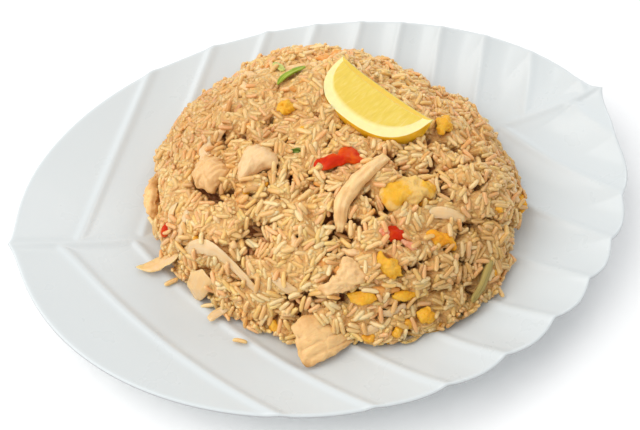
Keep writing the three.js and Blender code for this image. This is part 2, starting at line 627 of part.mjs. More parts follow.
const TOPPINGS = [
  { name: 'lemon_wedge', slot: 'lemon', make: lemonWedge },
  {
    name: 'chicken_strip',
    slot: 'chicken',
    make: heapStrip(
      [[-46, 0.17, 1], [-76, 0.2, 3], [-97, 0.28, 3.5], [-106, 0.39, 1]],
      { width: 6.5, thick: 6, steps: 9, taper: 0.3 },
    ),
  },
  {
    name: 'chicken_slice_front',
    slot: 'chicken',
    make: heapFlake(
      { bearing: -108, slope: 0.85, lift: 2.4, turn: 12 },
      { length: 30, width: 27, thick: 6, radii: [1.05, 0.7, 0.75, 0.9, 0.9, 0.8, 0.85, 0.7, 0.75, 0.8] },
    ),
  },
  {
    name: 'chicken_flake_front',
    slot: 'chicken',
    make: heapFlake(
      { bearing: -104, slope: 0.58, lift: 2.2, turn: 84, pitch: -4 },
      {
        length: 29,
        width: 19,
        thick: 4,
        crown: 0.1,
        radii: [0.9, 1.1, 0.8, 0.75, 1, 0.95, 1.05, 0.8, 0.95, 1],
      },
    ),
  },
  {
    name: 'chicken_curl',
    slot: 'chicken',
    make: heapStrip(
      [[-179, 0.33, 0.5], [178, 0.27, 4], [-178, 0.2, 5], [-164, 0.18, 4], [-158, 0.21, 1]],
      { width: 9, thick: 8, steps: 8, taper: 0.45 },
    ),
  },
  {
    name: 'chicken_chunk_left',
    slot: 'chicken',
    make: heapFlake(
      { bearing: 179, slope: 0.44, lift: 2, turn: 20 },
      { length: 17, width: 14, thick: 10, radii: ROUND },
    ),
  },
  {
    name: 'chicken_edge_left',
    slot: 'chicken',
    make: heapFlake(
      { bearing: 171, slope: 0.82, lift: 1.5, turn: 80 },
      { length: 23, width: 14, thick: 7, radii: ROUND },
    ),
  },
  {
    name: 'egg_large',
    slot: 'egg',
    make: heapFlake(
      { bearing: -60, slope: 0.31, lift: 1, turn: 65 },
      { length: 25, width: 14, thick: 8, radii: RAGGED },
    ),
  },
  {
    name: 'egg_front',
    slot: 'egg',
    make: heapFlake(
      { bearing: -87, slope: 0.54, lift: 1, turn: 20 },
      { length: 12, width: 9, thick: 7, radii: RAGGED },
    ),
  },
  {
    name: 'egg_orange',
    slot: 'egg',
    make: heapFlake(
      { bearing: -64, slope: 0.52, lift: 0.8, turn: 50 },
      { length: 16, width: 6.5, thick: 5, radii: RAGGED },
    ),
  },
  {
    name: 'egg_slice_left',
    slot: 'egg',
    make: heapFlake(
      { bearing: -98.5, slope: 0.7, lift: 3, turn: 80 },
      { length: 13.5, width: 7, thick: 4, radii: ROUND },
    ),
  },
  {
    name: 'egg_slice_right',
    slot: 'egg',
    make: heapFlake(
      { bearing: -84, slope: 0.7, lift: 1.4, turn: 88 },
      { length: 13, width: 5.5, thick: 4, radii: ROUND },
    ),
  },
  {
    name: 'egg_low',
    slot: 'egg',
    make: heapFlake(
      { bearing: -78, slope: 0.86, lift: 0.8, turn: 60 },
      { length: 9, width: 7, thick: 5, radii: RAGGED },
    ),
  },
  {
    name: 'egg_back',
    slot: 'egg',
    make: heapFlake(
      { bearing: 128, slope: 0.17, lift: 0.8, turn: 30 },
      { length: 8.5, width: 7, thick: 5, radii: RAGGED },
    ),
  },
  {
    name: 'egg_by_lemon',
    slot: 'egg',
    make: heapFlake(
      { bearing: -8, slope: 0.42, lift: 2, turn: 60 },
      { length: 12, width: 5, thick: 4.5, radii: RAGGED },
    ),
  },
  {
    name: 'egg_right_edge',
    slot: 'egg',
    make: heapFlake(
      { bearing: -26, slope: 0.84, lift: 1, turn: 90 },
      { length: 10, width: 8, thick: 5, radii: RAGGED },
    ),
  },
  {
    name: 'tomato_top',
    slot: 'tomato',
    make: heapFlake(
      { bearing: -98, slope: 0.1, lift: 2.2, turn: 92 },
      { length: 24, width: 10, thick: 3.5, radii: [1, 0.6, 1.05, 0.8, 0.75, 0.95, 0.8, 0.6, 0.5, 0.8] },
    ),
  },
  {
    name: 'tomato_right',
    slot: 'tomato',
    make: heapFlake(
      { bearing: -80, slope: 0.42, lift: 1, turn: 70 },
      { length: 12, width: 7.5, thick: 4.5, radii: ROUND },
    ),
  },
  {
    name: 'tomato_left',
    slot: 'tomato',
    make: heapFlake(
      { bearing: -175, slope: 0.8, lift: 1, turn: 10 },
      { length: 8, width: 4.5, thick: 3, radii: ROUND },
    ),
  },
  {
    name: 'onion_lying',
    slot: 'onion',
    make: (grow) => dishStrand(
      [[-96, -3, 2.3], [-89, -4, 3.5], [-82, -7, 6.5], [-77.5, -11, 11]],
      { width: 7, thick: 3, steps: 6, taper: 0.5 },
      grow,
    ),
  },
  {
    name: 'onion_long',
    slot: 'onion',
    make: heapStrip(
      [[-158, 0.66, 1.6], [-151, 0.655, 2.6], [-143, 0.67, 3], [-131, 0.735, 1.8]],
      { width: 6, thick: 2.8, steps: 8 },
    ),
  },
  {
    name: 'onion_short',
    slot: 'onion',
    make: heapStrip(
      [[-131, 0.63, 1], [-126, 0.66, 2.2], [-120, 0.7, 1]],
      { width: 5.5, thick: 2.8, steps: 6 },
    ),
  },
  {
    name: 'onion_chunk',
    slot: 'onion',
    make: heapFlake(
      { bearing: -153, slope: 0.9, lift: 1.8, turn: -12 },
      { length: 15, width: 11, thick: 4, radii: ROUND },
    ),
  },
  {
    name: 'onion_upright_1',
    slot: 'onion',
    make: heapStrip(
      [[-176, 0.58, 0.6], [-171, 0.68, 1.8], [-167, 0.78, 1.8], [-165.5, 0.84, 0.6]],
      { width: 4.5, thick: 2.6, steps: 7 },
    ),
  },
  {
    name: 'onion_upright_2',
    slot: 'onion',
    make: heapStrip(
      [[179, 0.62, 0.6], [-177, 0.71, 1.6], [-172, 0.79, 0.6]],
      { width: 3.6, thick: 2.4, steps: 6 },
    ),
  },
  {
    name: 'onion_foot',
    slot: 'onion',
    make: (grow) => dishStrand(
      [[-71, -43, 1.9], [-67, -41, 3], [-61, -39.5, 5]],
      { width: 4.2, thick: 2.6, steps: 5 },
      grow,
    ),
  },
  {
    name: 'onion_front_oval',
    slot: 'onion',
    make: heapFlake(
      { bearing: -96, slope: 0.86, lift: 1.2, turn: 112 },
      { length: 11, width: 5.5, thick: 3.2, radii: ROUND },
    ),
  },
  {
    name: 'onion_front_sliver',
    slot: 'onion',
    make: heapStrip(
      [[-93.5, 0.77, 1], [-89, 0.775, 1.8], [-84.5, 0.755, 1]],
      { width: 4, thick: 2.6, steps: 5 },
    ),
  },
  {
    name: 'onion_right',
    slot: 'onion',
    make: heapStrip(
      [[-61, 0.4, 1], [-55, 0.45, 2], [-51, 0.52, 1]],
      { width: 5, thick: 3, steps: 6 },
    ),
  },
  {
    name: 'onion_back',
    slot: 'onion',
    make: heapFlake(
      { bearing: 161, slope: 0.36, lift: 1, turn: 60 },
      { length: 14, width: 8, thick: 3.5, radii: ROUND },
    ),
  },
  {
    name: 'onion_right_edge',
    slot: 'onion',
    make: heapStrip(
      [[-22, 0.62, 1], [-26, 0.68, 1.8], [-29, 0.75, 1]],
      { width: 4, thick: 2.6, steps: 5 },
    ),
  },
  {
    name: 'greens_bright',
    slot: 'greens',
    make: heapStrip(
      [[113, 0.28, 1.2], [107, 0.29, 2.4], [99, 0.31, 2.6], [91, 0.32, 1.8]],
      { width: 4, thick: 2.2, steps: 6 },
    ),
  },
  {
    name: 'greens_pale',
    slot: 'greens',
    make: heapStrip(
      [[105, 0.44, 1], [104, 0.39, 1.8], [102, 0.35, 1]],
      { width: 3.6, thick: 2.4, steps: 5 },
    ),
  },
  {
    name: 'greens_dark',
    slot: 'greens',
    make: heapFlake(
      { bearing: -167, slope: 0.13, lift: 0.8, turn: 70 },
      { length: 6.5, width: 3.5, thick: 2.6, radii: ROUND },
    ),
  },
  {
    name: 'greens_stalk',
    slot: 'greens',
    make: heapStrip(
      [[-51, 0.79, 1], [-54, 0.85, 2], [-58, 0.9, 1.6]],
      { width: 6, thick: 3.4, steps: 6 },
    ),
  },
];

// A long thin grain with a blunt end: 30 triangles
function grainGeometry(centre, direction, length, width, grow = 0) {
  const across = vector(0.31, 0.52, 0.79).cross(direction).normalize();
  const up = direction.clone().cross(across);
  const ring = (along, share) => Array.from({ length: 5 }, (_, i) => {
    const angle = -(i / 5) * TURN;
    return centre.clone().addScaledVector(direction, along * length)
      .addScaledVector(across, (share * width / 2 + grow) * Math.cos(angle))
      .addScaledVector(up, (share * width / 2 + grow) * Math.sin(angle));
  });
  const end = (along) => [centre.clone().addScaledVector(direction, along * (length + 2 * grow))];
  return ringSolid([end(-0.5), ring(-0.34, 0.72), ring(0.05, 1), ring(0.36, 0.66), end(0.5)]);
}

// Grains that lie askew on the heap, clear of every topping
function looseGrainSolids(heap, toppings) {
  const random = randomSource(SEED + 1);
  const grains = [];
  while (grains.length < LOOSE_GRAINS_ON_HEAP) {
    const bearing = random() * TURN;
    const tilt = Math.acos(1 - 0.97 * random());
    const seat = heapSeat({
      bearing: THREE.MathUtils.radToDeg(bearing),
      slope: Math.min(tilt / (TURN / 4), 0.86),
      lift: 1.1 + 0.5 * random(),
      turn: random() * 360,
      pitch: 8 + 22 * random(),
    });
    const length = GRAIN_LENGTH * (0.85 + 0.25 * random());
    const grain = toSolid(grainGeometry(seat.origin, seat.length, length, GRAIN_WIDTH));
    const free = toppings.every(({ grown }) => grown.intersect(grain).isEmpty());
    const held = heap.intersect(grain).volume() > GRAIN_HOLD * grain.volume();
    if (free && held) grains.push(grain);
  }
  return grains;
}

const group = new THREE.Group();

function addMesh(name, slot, geometry) {
  const glazed = slot === 'porcelain';
  const material = new THREE.MeshStandardMaterial({
    color: COLOURS[slot],
    roughness: glazed ? 0.12 : 0.5,
    metalness: 0,
  });
  const mesh = new THREE.Mesh(geometry, material);
  mesh.name = name;
  group.add(mesh);
}

const dish = dishGeometry();
addMesh('dish', 'porcelain', dish);

// Toppings: each later one gives way to the ones before it
const toppings = [];
for (const { name, slot, make } of TOPPINGS) {
  let solid = toSolid(make(0));
  for (const { grown } of toppings) {
    if (!grown.intersect(solid).isEmpty()) solid = largestBody(solid.subtract(grown));
  }
  toppings.push({ name, slot, solid, grown: toSolid(make(GAP)) });
}

// Rice: the bumpy heap with its loose grains. Each topping is bedded into the bare heap, and
// one that reaches the dish is cut clear of it.
const coverPoints = toppings.flatMap(({ solid }) => pointsOf(toGeometry(solid)));
const bareHeap = toSolid(heapGeometry(coverPoints));
const heap = looseGrainSolids(bareHeap, toppings).reduce((all, grain) => all.add(grain), bareHeap);
addMesh('rice_heap', 'rice', toGeometry(largestBody(heap)));
const bed = toSolid(heapGeometry(coverPoints, BED_GAP));
const raisedDish = toSolid(dish.clone().translate(0, 0, GAP));
for (const { name, slot, solid } of toppings) {
  addMesh(name, slot, toGeometry(largestBody(solid.subtract(bed).subtract(raisedDish))));
}

// Grains that fell beside the heap, lying on the dish
const FALLEN_GRAINS = [
  { name: 'fallen_grain_left', x: -82.5, y: -17, turn: 12 },
  { name: 'fallen_grain_front', x: -60, y: -58, turn: -30 },
];
for (const { name, x, y, turn } of FALLEN_GRAINS) {
  const direction = vector(Math.cos(radians(turn)), Math.sin(radians(turn)), 0);
  const centre = vector(x, y, restHeight(x, y) + GRAIN_WIDTH / 2 + GAP);
  addMesh(name, 'rice', grainGeometry(centre, direction, GRAIN_LENGTH * 0.8, GRAIN_WIDTH));
}

export default group;
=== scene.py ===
"""A plate of thai fried rice: a leaf-shaped porcelain dish, a heap of rice grains, and the
chicken, egg, onion, tomato, greens and lemon that lie on and in it.

Shapes are worked out in millimetres and put into the meshes in metres.
"""

import json
import math

import bpy
import numpy as np
from bpy.props import FloatProperty, FloatVectorProperty, IntProperty, PointerProperty
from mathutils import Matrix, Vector
from mathutils.bvhtree import BVHTree

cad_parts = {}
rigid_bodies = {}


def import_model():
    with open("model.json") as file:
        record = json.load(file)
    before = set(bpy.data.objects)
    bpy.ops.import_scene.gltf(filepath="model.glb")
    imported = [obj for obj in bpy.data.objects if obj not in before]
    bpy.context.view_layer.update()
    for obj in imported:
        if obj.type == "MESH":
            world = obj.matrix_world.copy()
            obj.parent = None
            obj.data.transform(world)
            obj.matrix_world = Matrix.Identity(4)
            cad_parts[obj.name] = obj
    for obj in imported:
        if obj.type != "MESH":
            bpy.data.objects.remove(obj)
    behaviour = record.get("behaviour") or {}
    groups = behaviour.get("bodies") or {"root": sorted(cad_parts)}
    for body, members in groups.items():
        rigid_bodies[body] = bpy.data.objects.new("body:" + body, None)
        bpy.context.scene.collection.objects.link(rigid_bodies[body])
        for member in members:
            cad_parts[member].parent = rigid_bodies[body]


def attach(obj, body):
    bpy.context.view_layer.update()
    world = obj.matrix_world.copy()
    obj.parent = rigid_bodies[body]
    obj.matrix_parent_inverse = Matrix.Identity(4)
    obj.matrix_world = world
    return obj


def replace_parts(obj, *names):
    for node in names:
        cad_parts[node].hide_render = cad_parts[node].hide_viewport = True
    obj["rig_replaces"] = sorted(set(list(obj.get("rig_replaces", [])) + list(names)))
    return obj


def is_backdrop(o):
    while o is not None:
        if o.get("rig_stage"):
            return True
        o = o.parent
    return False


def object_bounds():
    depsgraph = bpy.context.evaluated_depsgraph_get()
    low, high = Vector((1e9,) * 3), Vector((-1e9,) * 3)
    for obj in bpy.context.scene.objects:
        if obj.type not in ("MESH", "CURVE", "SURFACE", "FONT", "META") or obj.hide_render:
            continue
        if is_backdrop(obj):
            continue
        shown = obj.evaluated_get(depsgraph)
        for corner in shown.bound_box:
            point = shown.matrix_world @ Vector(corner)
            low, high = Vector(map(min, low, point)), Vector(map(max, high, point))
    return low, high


bl_info = {
    "name": "Plate of thai fried rice",
    "version": (1, 0, 0),
    "blender": (4, 5, 0),
    "location": "View3D > Sidebar > Fried Rice",
    "description": "Builds the dish, the rice and the toppings over the packed solids",
    "category": "Object",
}

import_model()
CAD_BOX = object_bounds()

MM = 0.001
TURN = 2 * math.pi

# Dish, in millimetres and in shares of the way from its middle to its rim
FLOOR_HEIGHT = 7.0
RIM_HEIGHT = 26.5
FLOOR_SHARE = 0.42
WALL_CURVE = 1.6
FLOOR_THICKNESS = 4.2
RIM_THICKNESS = 3.2
FOOT_INSIDE = 0.535
FOOT_OUTSIDE = 0.575
LEAF_BEND = 5.0
RIB_HALF_WIDTH = 2.4
RIB_LEAN = 0.36
RIB_CURL = 0.12
UPPER_RIBS = {"first": -0.81, "step": 0.195, "count": 10}
LOWER_RIBS = {"first": -0.86, "step": 0.218, "count": 9}
LIP_ROWS = slice(100, 106)  # the rings round the outside of the lip
STALK_BEARING = 176.0
TIP_BEARING = 8.5
LOBE_DEPTH = 2.2
TIP_LIFT = 3.0

# Heap of rice
HEAP_X = 5.3
HEAP_Y = 10.3
HEAP_REACH = 86.7
HEAP_RISE = 50.0
HEAP_SQUARENESS = 2.3
CORE_DEPTH = 1.3
GRAIN_START = 1.2  # depth from which the grains are moved out
GRAIN_RISE = 2.4  # no grain is moved out farther
LAST_TILT = math.radians(89)  # tilt of the lowest places of the heap
PIT_DEPTH = 5.0
HOLE_SIZE = 5.0
CRACK_SHARE = 0.085  # clod share below which the rice is cracked
FILL_DEPTH = 0.1  # how far the rice between the grains lies below their tops
FILL_BLUR = 1.3
CALM_REACH = 6.5  # how far from a topping the rice has no lumps
CLOD_SIZE = 15.0
CLOD_RISE = 3.6
CLUMPS = (
    # bearing in degrees, slope from the top to the foot, spread and rise
    (-35, 0.47, 14, 4),
    (-171, 0.24, 11, 2),
    (-118, 0.3, 13, 3),
    (-94, 0.54, 12, 3),
    (-70, 0.58, 11, 2),
    (-157, 0.54, 13, 3),
    (-169, 0.41, 7, -4),
    (-143, 0.47, 6, -4),
    (-104, 0.4, 6, -4),
    (-45, 0.24, 9, -4),
    (-18, 0.4, 9, -4),
    (-101, 0.69, 8, -4),
    (60, 0.3, 22, 2),
)
FLARES = (
    # bearing, slope where it starts, spread in degrees, and reach at the foot
    (-80, 0.68, 26, 8.0),
    (178, 0.55, 16, -2.5),
    (-42, 0.7, 10, -3.0),
)
SWELLS = (
    # bearing, slope, spread and rise of the outer grains alone
    (45, 0.6, 26, -6.0),
    (20, 0.7, 18, -2.0),
    (120, 0.55, 22, -2.0),
    (-33, 0.5, 14, 3.6),
    (-44, 0.25, 7, -3.0),
    (-12, 0.33, 7, -2.5),
    (-112, 0.42, 9, 1.2),
    (62, 0.07, 9, -2.2),
    (-135, 0.62, 10, 1.2),
)
SMOOTH_PARTS = (
    # bearing, slope and spread of the parts where the rice has few lumps
    (130, 0.5, 42),
    (-127, 0.58, 19),
    (178, 0.6, 16),
    (96, 0.3, 13),
)
PITS = (
    # the two ends as bearing and slope, and the half width
    ((-83, 0.23), (-84, 0.32), 2.5),
    ((-99, 0.34), (-94, 0.36), 2.1),
    ((-110, 0.31), (-113, 0.34), 2.1),
    ((-110, 0.41), (-107, 0.40), 2.0),
    ((-172, 0.50), (-167, 0.37), 1.9),
    ((-150, 0.19), (-143, 0.22), 1.7),
    ((179, 0.53), (-165, 0.46), 2.3),
    ((-148, 0.48), (-138, 0.48), 2.2),
    ((-107, 0.36), (-100, 0.41), 2.0),
    ((-39, 0.16), (-48, 0.32), 1.9),
    ((-45, 0.33), (-28, 0.32), 1.6),
    ((-13, 0.28), (-21, 0.56), 2.3),
    ((-118, 0.70), (-104, 0.69), 2.1),
    ((-124, 0.72), (-119, 0.77), 2.1),
    ((159, 0.29), (161, 0.31), 1.8),
)

SEED = 11


# Numbers

UP = np.array([0.0, 0.0, 1.0])


def smooth(value, low, high):
    """0 below low, 1 above high, and a smooth S between them."""
    share = np.clip((value - low) / (high - low), 0.0, 1.0)
    return share * share * (3 - 2 * share)


def scatter(cell, seed):
    """Random value from -1 to 1 for each cell of a lattice of cubes."""
    key = cell[..., 0] * 73856093 ^ cell[..., 1] * 19349663 ^ cell[..., 2] * 83492791 ^ (seed + 1) * 40503
    key = (key ^ (key >> 13)) * 1274126177 & 0xFFFFFFFF
    key = (key ^ (key >> 15)) * 2246822519 & 0xFFFFFFFF
    return (key >> 8 & 0xFFFF) / 32767.5 - 1


def cell_noise(points, size, seed=0):
    """Smooth random field from -1 to 1: random values at the corners of a lattice of cubes
    of that size, blended inside each cube by an S curve along each axis."""
    place = np.asarray(points, float) / size
    cell = np.floor(place).astype(np.int64)
    part = place - cell
    part = part * part * (3 - 2 * part)
    total = np.zeros(place.shape[:-1])
    for dx in (0, 1):
        for dy in (0, 1):
            for dz in (0, 1):
                value = scatter(cell + np.array([dx, dy, dz]), seed)
                weight = (
                    np.abs(1 - dx - part[..., 0])
                    * np.abs(1 - dy - part[..., 1])
                    * np.abs(1 - dz - part[..., 2])
                )
                total += value * weight
    return total


def layered_noise(points, size, seed=0, layers=3):
    """Sum of cell noises, each with half the size and half the height of the one before."""
    total = np.zeros(np.asarray(points).shape[:-1])
    for layer in range(layers):
        total += cell_noise(points, size / 2**layer, seed + 17 * layer) / 2**layer
    return total


def clod_share(points, size, seed=0):
    """0 on the borders between lumps and up to 1 inside them. A lump is what lies nearest to
    one of the middles scattered one to a cube, and the share is how much nearer it is than
    the next one."""
    place = np.asarray(points, float) / size
    cell = np.floor(place).astype(np.int64)
    first = np.full(place.shape[:-1], 9.0)
    second = first.copy()
    for step in np.ndindex(3, 3, 3):
        other = cell + np.array(step) - 1
        middle = other + 0.5 + 0.42 * np.stack([scatter(other, seed + k) for k in range(3)], -1)
        distance = np.linalg.norm(middle - place, axis=-1)
        second = np.minimum(second, np.maximum(first, distance))
        first = np.minimum(first, distance)
    return second - first


def unit(vectors):
    """The same directions with length 1."""
    length = np.linalg.norm(vectors, axis=-1, keepdims=True)
    return vectors / np.maximum(length, 1e-9)


def bell(points, place, spread, power=2):
    """1 at a place, falling off as the exponential of minus a power of the distance."""
    return np.exp(-((np.linalg.norm(points - place, axis=-1) / spread) ** power))


def paired(bearing, tilt):
    """Two arrays of one shape from a bearing and a tilt."""
    return np.broadcast_arrays(np.asarray(bearing, float), np.asarray(tilt, float))


# Dish


def midrib_place(u):
    """v of the leaf's midrib: a gentle slant with one bump near the tip."""
    return 0.105 + 0.037 * u + 0.07 * np.exp(-(((u - 0.65) / 0.25) ** 2))


def rib_count(u, v):
    """Number of side ribs before (u, v) on its side of the midrib, with a fraction between
    two ribs, the distance from the midrib, and the rib spacing and number on that side."""
    away = np.abs(v - midrib_place(u))
    upper = v > midrib_place(u)
    spine = u - away * (RIB_LEAN + RIB_CURL * away)
    first = np.where(upper, UPPER_RIBS["first"], LOWER_RIBS["first"])
    step = np.where(upper, UPPER_RIBS["step"], LOWER_RIBS["step"])
    last = np.where(upper, UPPER_RIBS["count"], LOWER_RIBS["count"]) - 1
    return (spine - first) / step, away, step, last


def leaf_relief(u, v, settings):
    """Ridges with a bell-shaped section along midrib and side ribs, less panels dished by a
    cosine between two ribs and deeper towards the tip, fading in from the flat floor."""
    count, away, step, last = rib_count(u, v)
    nearest = np.clip(np.round(count), 0, last)
    rib_distance = np.abs(count - nearest) * step * settings.half_length / MM * 0.9
    distance = np.minimum(rib_distance, away * settings.half_width / MM)
    ridge = settings.rib_rise / MM * np.exp(-((distance / RIB_HALF_WIDTH) ** 2))
    depth = 0.5 + 1.3 * smooth(u, -0.2, 0.9)
    wave = np.where(count > 0, (1 - np.cos(TURN * count)) / 2, 0)
    dished = depth * wave * smooth(away, 0, 0.14)
    return (ridge - dished) * smooth(np.hypot(u, v), 0.46, 0.64)


def wall_height(share):
    """Flat floor, then a rise to the rim by a power of the share of the way."""
    climb = np.maximum(0, (share - FLOOR_SHARE) / (1 - FLOOR_SHARE))
    return FLOOR_HEIGHT + (RIM_HEIGHT - FLOOR_HEIGHT) * climb**WALL_CURVE


def turn_between(a, b):
    """Angle between two bearings in degrees, 0 to 180."""
    return np.abs((a - b + 180) % 360 - 180)


def rim_reach(bearing):
    """Reach of the rim against a plain oval: two pointed tips that fall off exponentially,
    and shallow lobes between the rib ends on the half near the tip."""
    u, v = np.cos(np.radians(bearing)), np.sin(np.radians(bearing))
    stalk = 0.022 * np.exp(-turn_between(bearing, STALK_BEARING) / 3.2)
    tip = 0.032 * np.exp(-turn_between(bearing, TIP_BEARING) / 3.2)
    count = rib_count(u, v)[0]
    lobe = np.abs(np.sin(np.pi * count)) - 1
    return 1 + stalk + tip + LOBE_DEPTH / 113.5 * smooth(u, -0.25, 0.6) * lobe


def dish_place(u, v, settings):
    """x and y over (u, v): an oval bent like a leaf, with the rim's outline faded in."""
    share = np.hypot(u, v)
    bearing = np.degrees(np.arctan2(v, u))
    reach = 1 + (rim_reach(bearing) - 1) * smooth(share, 0.7, 1)
    x = settings.half_length / MM * u * reach
    y = settings.half_width / MM * v * reach + LEAF_BEND * u * u
    return x, y


def dish_top(u, v, settings):
    """Height of the upper face: the wall, the leaf relief and the lift of both tips."""
    share = np.hypot(u, v)
    bearing = np.degrees(np.arctan2(v, u))
    nearest = np.minimum(turn_between(bearing, STALK_BEARING), turn_between(bearing, TIP_BEARING))
    lift = TIP_LIFT * np.exp(-((nearest / 24) ** 2)) * share**4
    return wall_height(share) + leaf_relief(u, v, settings) + lift


def rest_height(x, y, settings):
    """Height of the smooth face on which food lies."""
    u = x / (settings.half_length / MM)
    v = (y - LEAF_BEND * u * u) / (settings.half_width / MM)
    share = np.hypot(u, v)
    return wall_height(share) + 0.2 + 0.9 * smooth(share, 0.4, 0.62)


def ground_under(points, settings):
    """Height of that face under each point."""
    return rest_height(points[..., 0], points[..., 1], settings)


def dish_surface(settings):
    """Rings round the dish: outwards over the upper face, round the lip in a half circle,
    back under it to the foot ring, down and up again, and in to the middle."""
    bearing = np.concatenate([
        np.linspace(TIP_BEARING, STALK_BEARING, 372, endpoint=False),
        np.linspace(STALK_BEARING, TIP_BEARING + 360, 428, endpoint=False),
    ])
    cos, sin = np.cos(np.radians(bearing)), np.sin(np.radians(bearing))

    def ring(share, height):
        u, v = share * cos, share * sin
        x, y = dish_place(u, v, settings)
        return np.stack([x, y, height(u, v) + 0 * x], axis=-1)

    def upper(u, v):
        return dish_top(u, v, settings)

    def under(u, v):
        share = np.hypot(u, v)
        thick = FLOOR_THICKNESS + (RIM_THICKNESS - FLOOR_THICKNESS) * share
        return wall_height(share) - thick + (dish_top(u, v, settings) - wall_height(share)) * 0.8

    rings = [ring(1e-4, upper)]
    rings += [ring(share, upper) for share in np.linspace(0.08, 0.44, 8)]
    rings += [ring(share, upper) for share in np.linspace(0.455, 0.985, 88)]
    half = RIM_THICKNESS / 2
    for angle in np.radians(np.linspace(70, -90, 9)):
        share = 0.988 + 0.012 * math.cos(angle)
        rings.append(ring(share, lambda u, v, a=angle: upper(u, v) - half + half * math.sin(a)))
    rings += [ring(share, under) for share in np.linspace(0.97, 0.6, 14)]
    foot = 0.3
    rings.append(ring(FOOT_OUTSIDE + 0.010, under))
    rings.append(ring(FOOT_OUTSIDE + 0.003, lambda u, v: foot))
    rings.append(ring(FOOT_OUTSIDE, lambda u, v: 0.0))
    rings.append(ring(FOOT_INSIDE, lambda u, v: 0.0))
    rings.append(ring(FOOT_INSIDE - 0.003, lambda u, v: foot))
    base = FLOOR_HEIGHT - FLOOR_THICKNESS
    rings.append(ring(FOOT_INSIDE - 0.012, lambda u, v: base))
    rings += [ring(share, lambda u, v: base) for share in (0.3, 1e-4)]
    return np.stack(rings)


# Heap


def outward(bearing, tilt):
    """Direction out of the heap at a bearing and a tilt from straight up."""
    return np.stack([
        np.sin(tilt) * np.cos(bearing),
        np.sin(tilt) * np.sin(bearing),
        np.cos(tilt) + 0 * bearing,
    ], axis=-1)


def heap_reach(bearing):
    """Half the heap's width, a little more or less by two slow waves."""
    slow, faster = math.radians(74), math.radians(153)
    return HEAP_REACH + 2.9 * np.cos(2 * bearing + slow) + 1.6 * np.cos(3 * bearing + faster)


def dome(bearing, tilt):
    """Square-shouldered dome: reach times sin(tilt) and rise times cos(tilt), each to the
    power 2 / squareness."""
    power = 2 / HEAP_SQUARENESS
    across = heap_reach(bearing) * np.maximum(0, np.sin(tilt)) ** power
    height = FLOOR_HEIGHT + HEAP_RISE * np.maximum(0, np.cos(tilt)) ** power
    return np.stack([
        HEAP_X + across * np.cos(bearing),
        HEAP_Y + across * np.sin(bearing),
        height + 0 * across,
    ], axis=-1)


def heap_spot(bearing, slope):
    """Point of the dome at a bearing in degrees and a slope from 0 on top to 1 at the foot."""
    return dome(np.radians(float(bearing)), np.radians(90.0 * slope))


def with_spots(rows):
    """The rows with the point of the dome in place of their bearing and slope."""
    return [(heap_spot(bearing, slope), *rest) for bearing, slope, *rest in rows]


CLUMP_PLACES = with_spots(CLUMPS)
SMOOTH_PLACES = with_spots(SMOOTH_PARTS)
SWELL_PLACES = with_spots(SWELLS)
PIT_ENDS = [(heap_spot(*first), heap_spot(*last), half) for first, last, half in PITS]
HEAP_MIDDLE = np.array([HEAP_X, HEAP_Y, 0.0])


def heap_point(bearing, tilt, lift=0.0):
    """Point of the heap's surface, raised by lift: the dome, a slow roll of two sines, and
    a bell-shaped rise or dip at each clump."""
    bearing, tilt = paired(bearing, tilt)
    point = dome(bearing, tilt)
    roll = np.sin(5 * bearing + 4 * tilt) + 0.8 * np.sin(9 * bearing - 7 * tilt + 1)
    rise = lift + roll * smooth(tilt, 0.1, 0.6)
    for place, spread, height in CLUMP_PLACES:
        rise = rise + height * bell(point, place, spread)
    return point + outward(bearing, tilt) * np.asarray(rise)[..., None]


def lumpy_share(points):
    """0 in the middle of the smooth parts of the heap and 1 away from them."""
    share = np.ones(points.shape[:-1])
    for place, spread in SMOOTH_PLACES:
        share = share * (1 - 0.9 * bell(points, place, spread, 4))
    return share


def pit_share(bearing, tilt):
    """1 inside a pit of the rice and 0 outside, with a steep edge: small holes where a noise
    is high, cracks where another is near nought, and the named pits round a line each."""
    points = dome(*paired(bearing, tilt))
    share = smooth(cell_noise(points, HOLE_SIZE, SEED + 42), 0.64, 0.76)
    border = clod_share(points, CLOD_SIZE, SEED + 40)
    crack = smooth(CRACK_SHARE - border, 0.0, 0.04) * lumpy_share(points)
    share = np.maximum(share, crack * smooth(cell_noise(points, 12.0, SEED + 44), 0.05, 0.25))
    ragged = 0.8 * cell_noise(points, 3.0, SEED + 45)
    for first, last, half in PIT_ENDS:
        line = last - first
        place = np.clip((points - first) @ line / (line @ line), 0, 1)
        distance = np.linalg.norm(points - first - place[..., None] * line, axis=-1) + ragged
        share = np.maximum(share, smooth(half - distance, -0.2 * half, 0.35 * half))
    return share


def calm_share(points):
    """0 near a topping, where the rice lies as the heap does, and 1 away from them all."""
    share = np.ones(points.shape[:-1])
    for item in (*CHICKEN, *EGG, *TOMATO, *ONION, *GREENS):
        places = item.get("path", ())
        if "seat" in item:
            places = (item["seat"],)
        for place, *_ in with_spots(places):
            share = np.minimum(share, 1 - bell(points, place, CALM_REACH))
    return share


def lump_lift(bearing, tilt):
    """How far the rice stands out: rounded lumps with creases between them, uneven by two
    noises, bell-shaped swells, and flares that grow towards the foot."""
    bearing, tilt = paired(bearing, tilt)
    points = dome(bearing, tilt)
    lump = smooth(clod_share(points, CLOD_SIZE, SEED + 40), 0.0, 0.38) - 0.8
    rise = CLOD_RISE * lump * lumpy_share(points)
    rise = rise + 1.3 * cell_noise(points, 18.0, SEED + 43) + 0.7 * cell_noise(points, 6.0, SEED + 41)
    rise = rise * calm_share(points)
    for place, spread, height in SWELL_PLACES:
        rise = rise + height * bell(points, place, spread)
    for middle, start, spread, reach in FLARES:
        share = np.exp(-((turn_between(np.degrees(bearing), middle) / spread) ** 2))
        rise = rise + reach * share * smooth(tilt / (math.pi / 2), start, 1.05)
    return rise


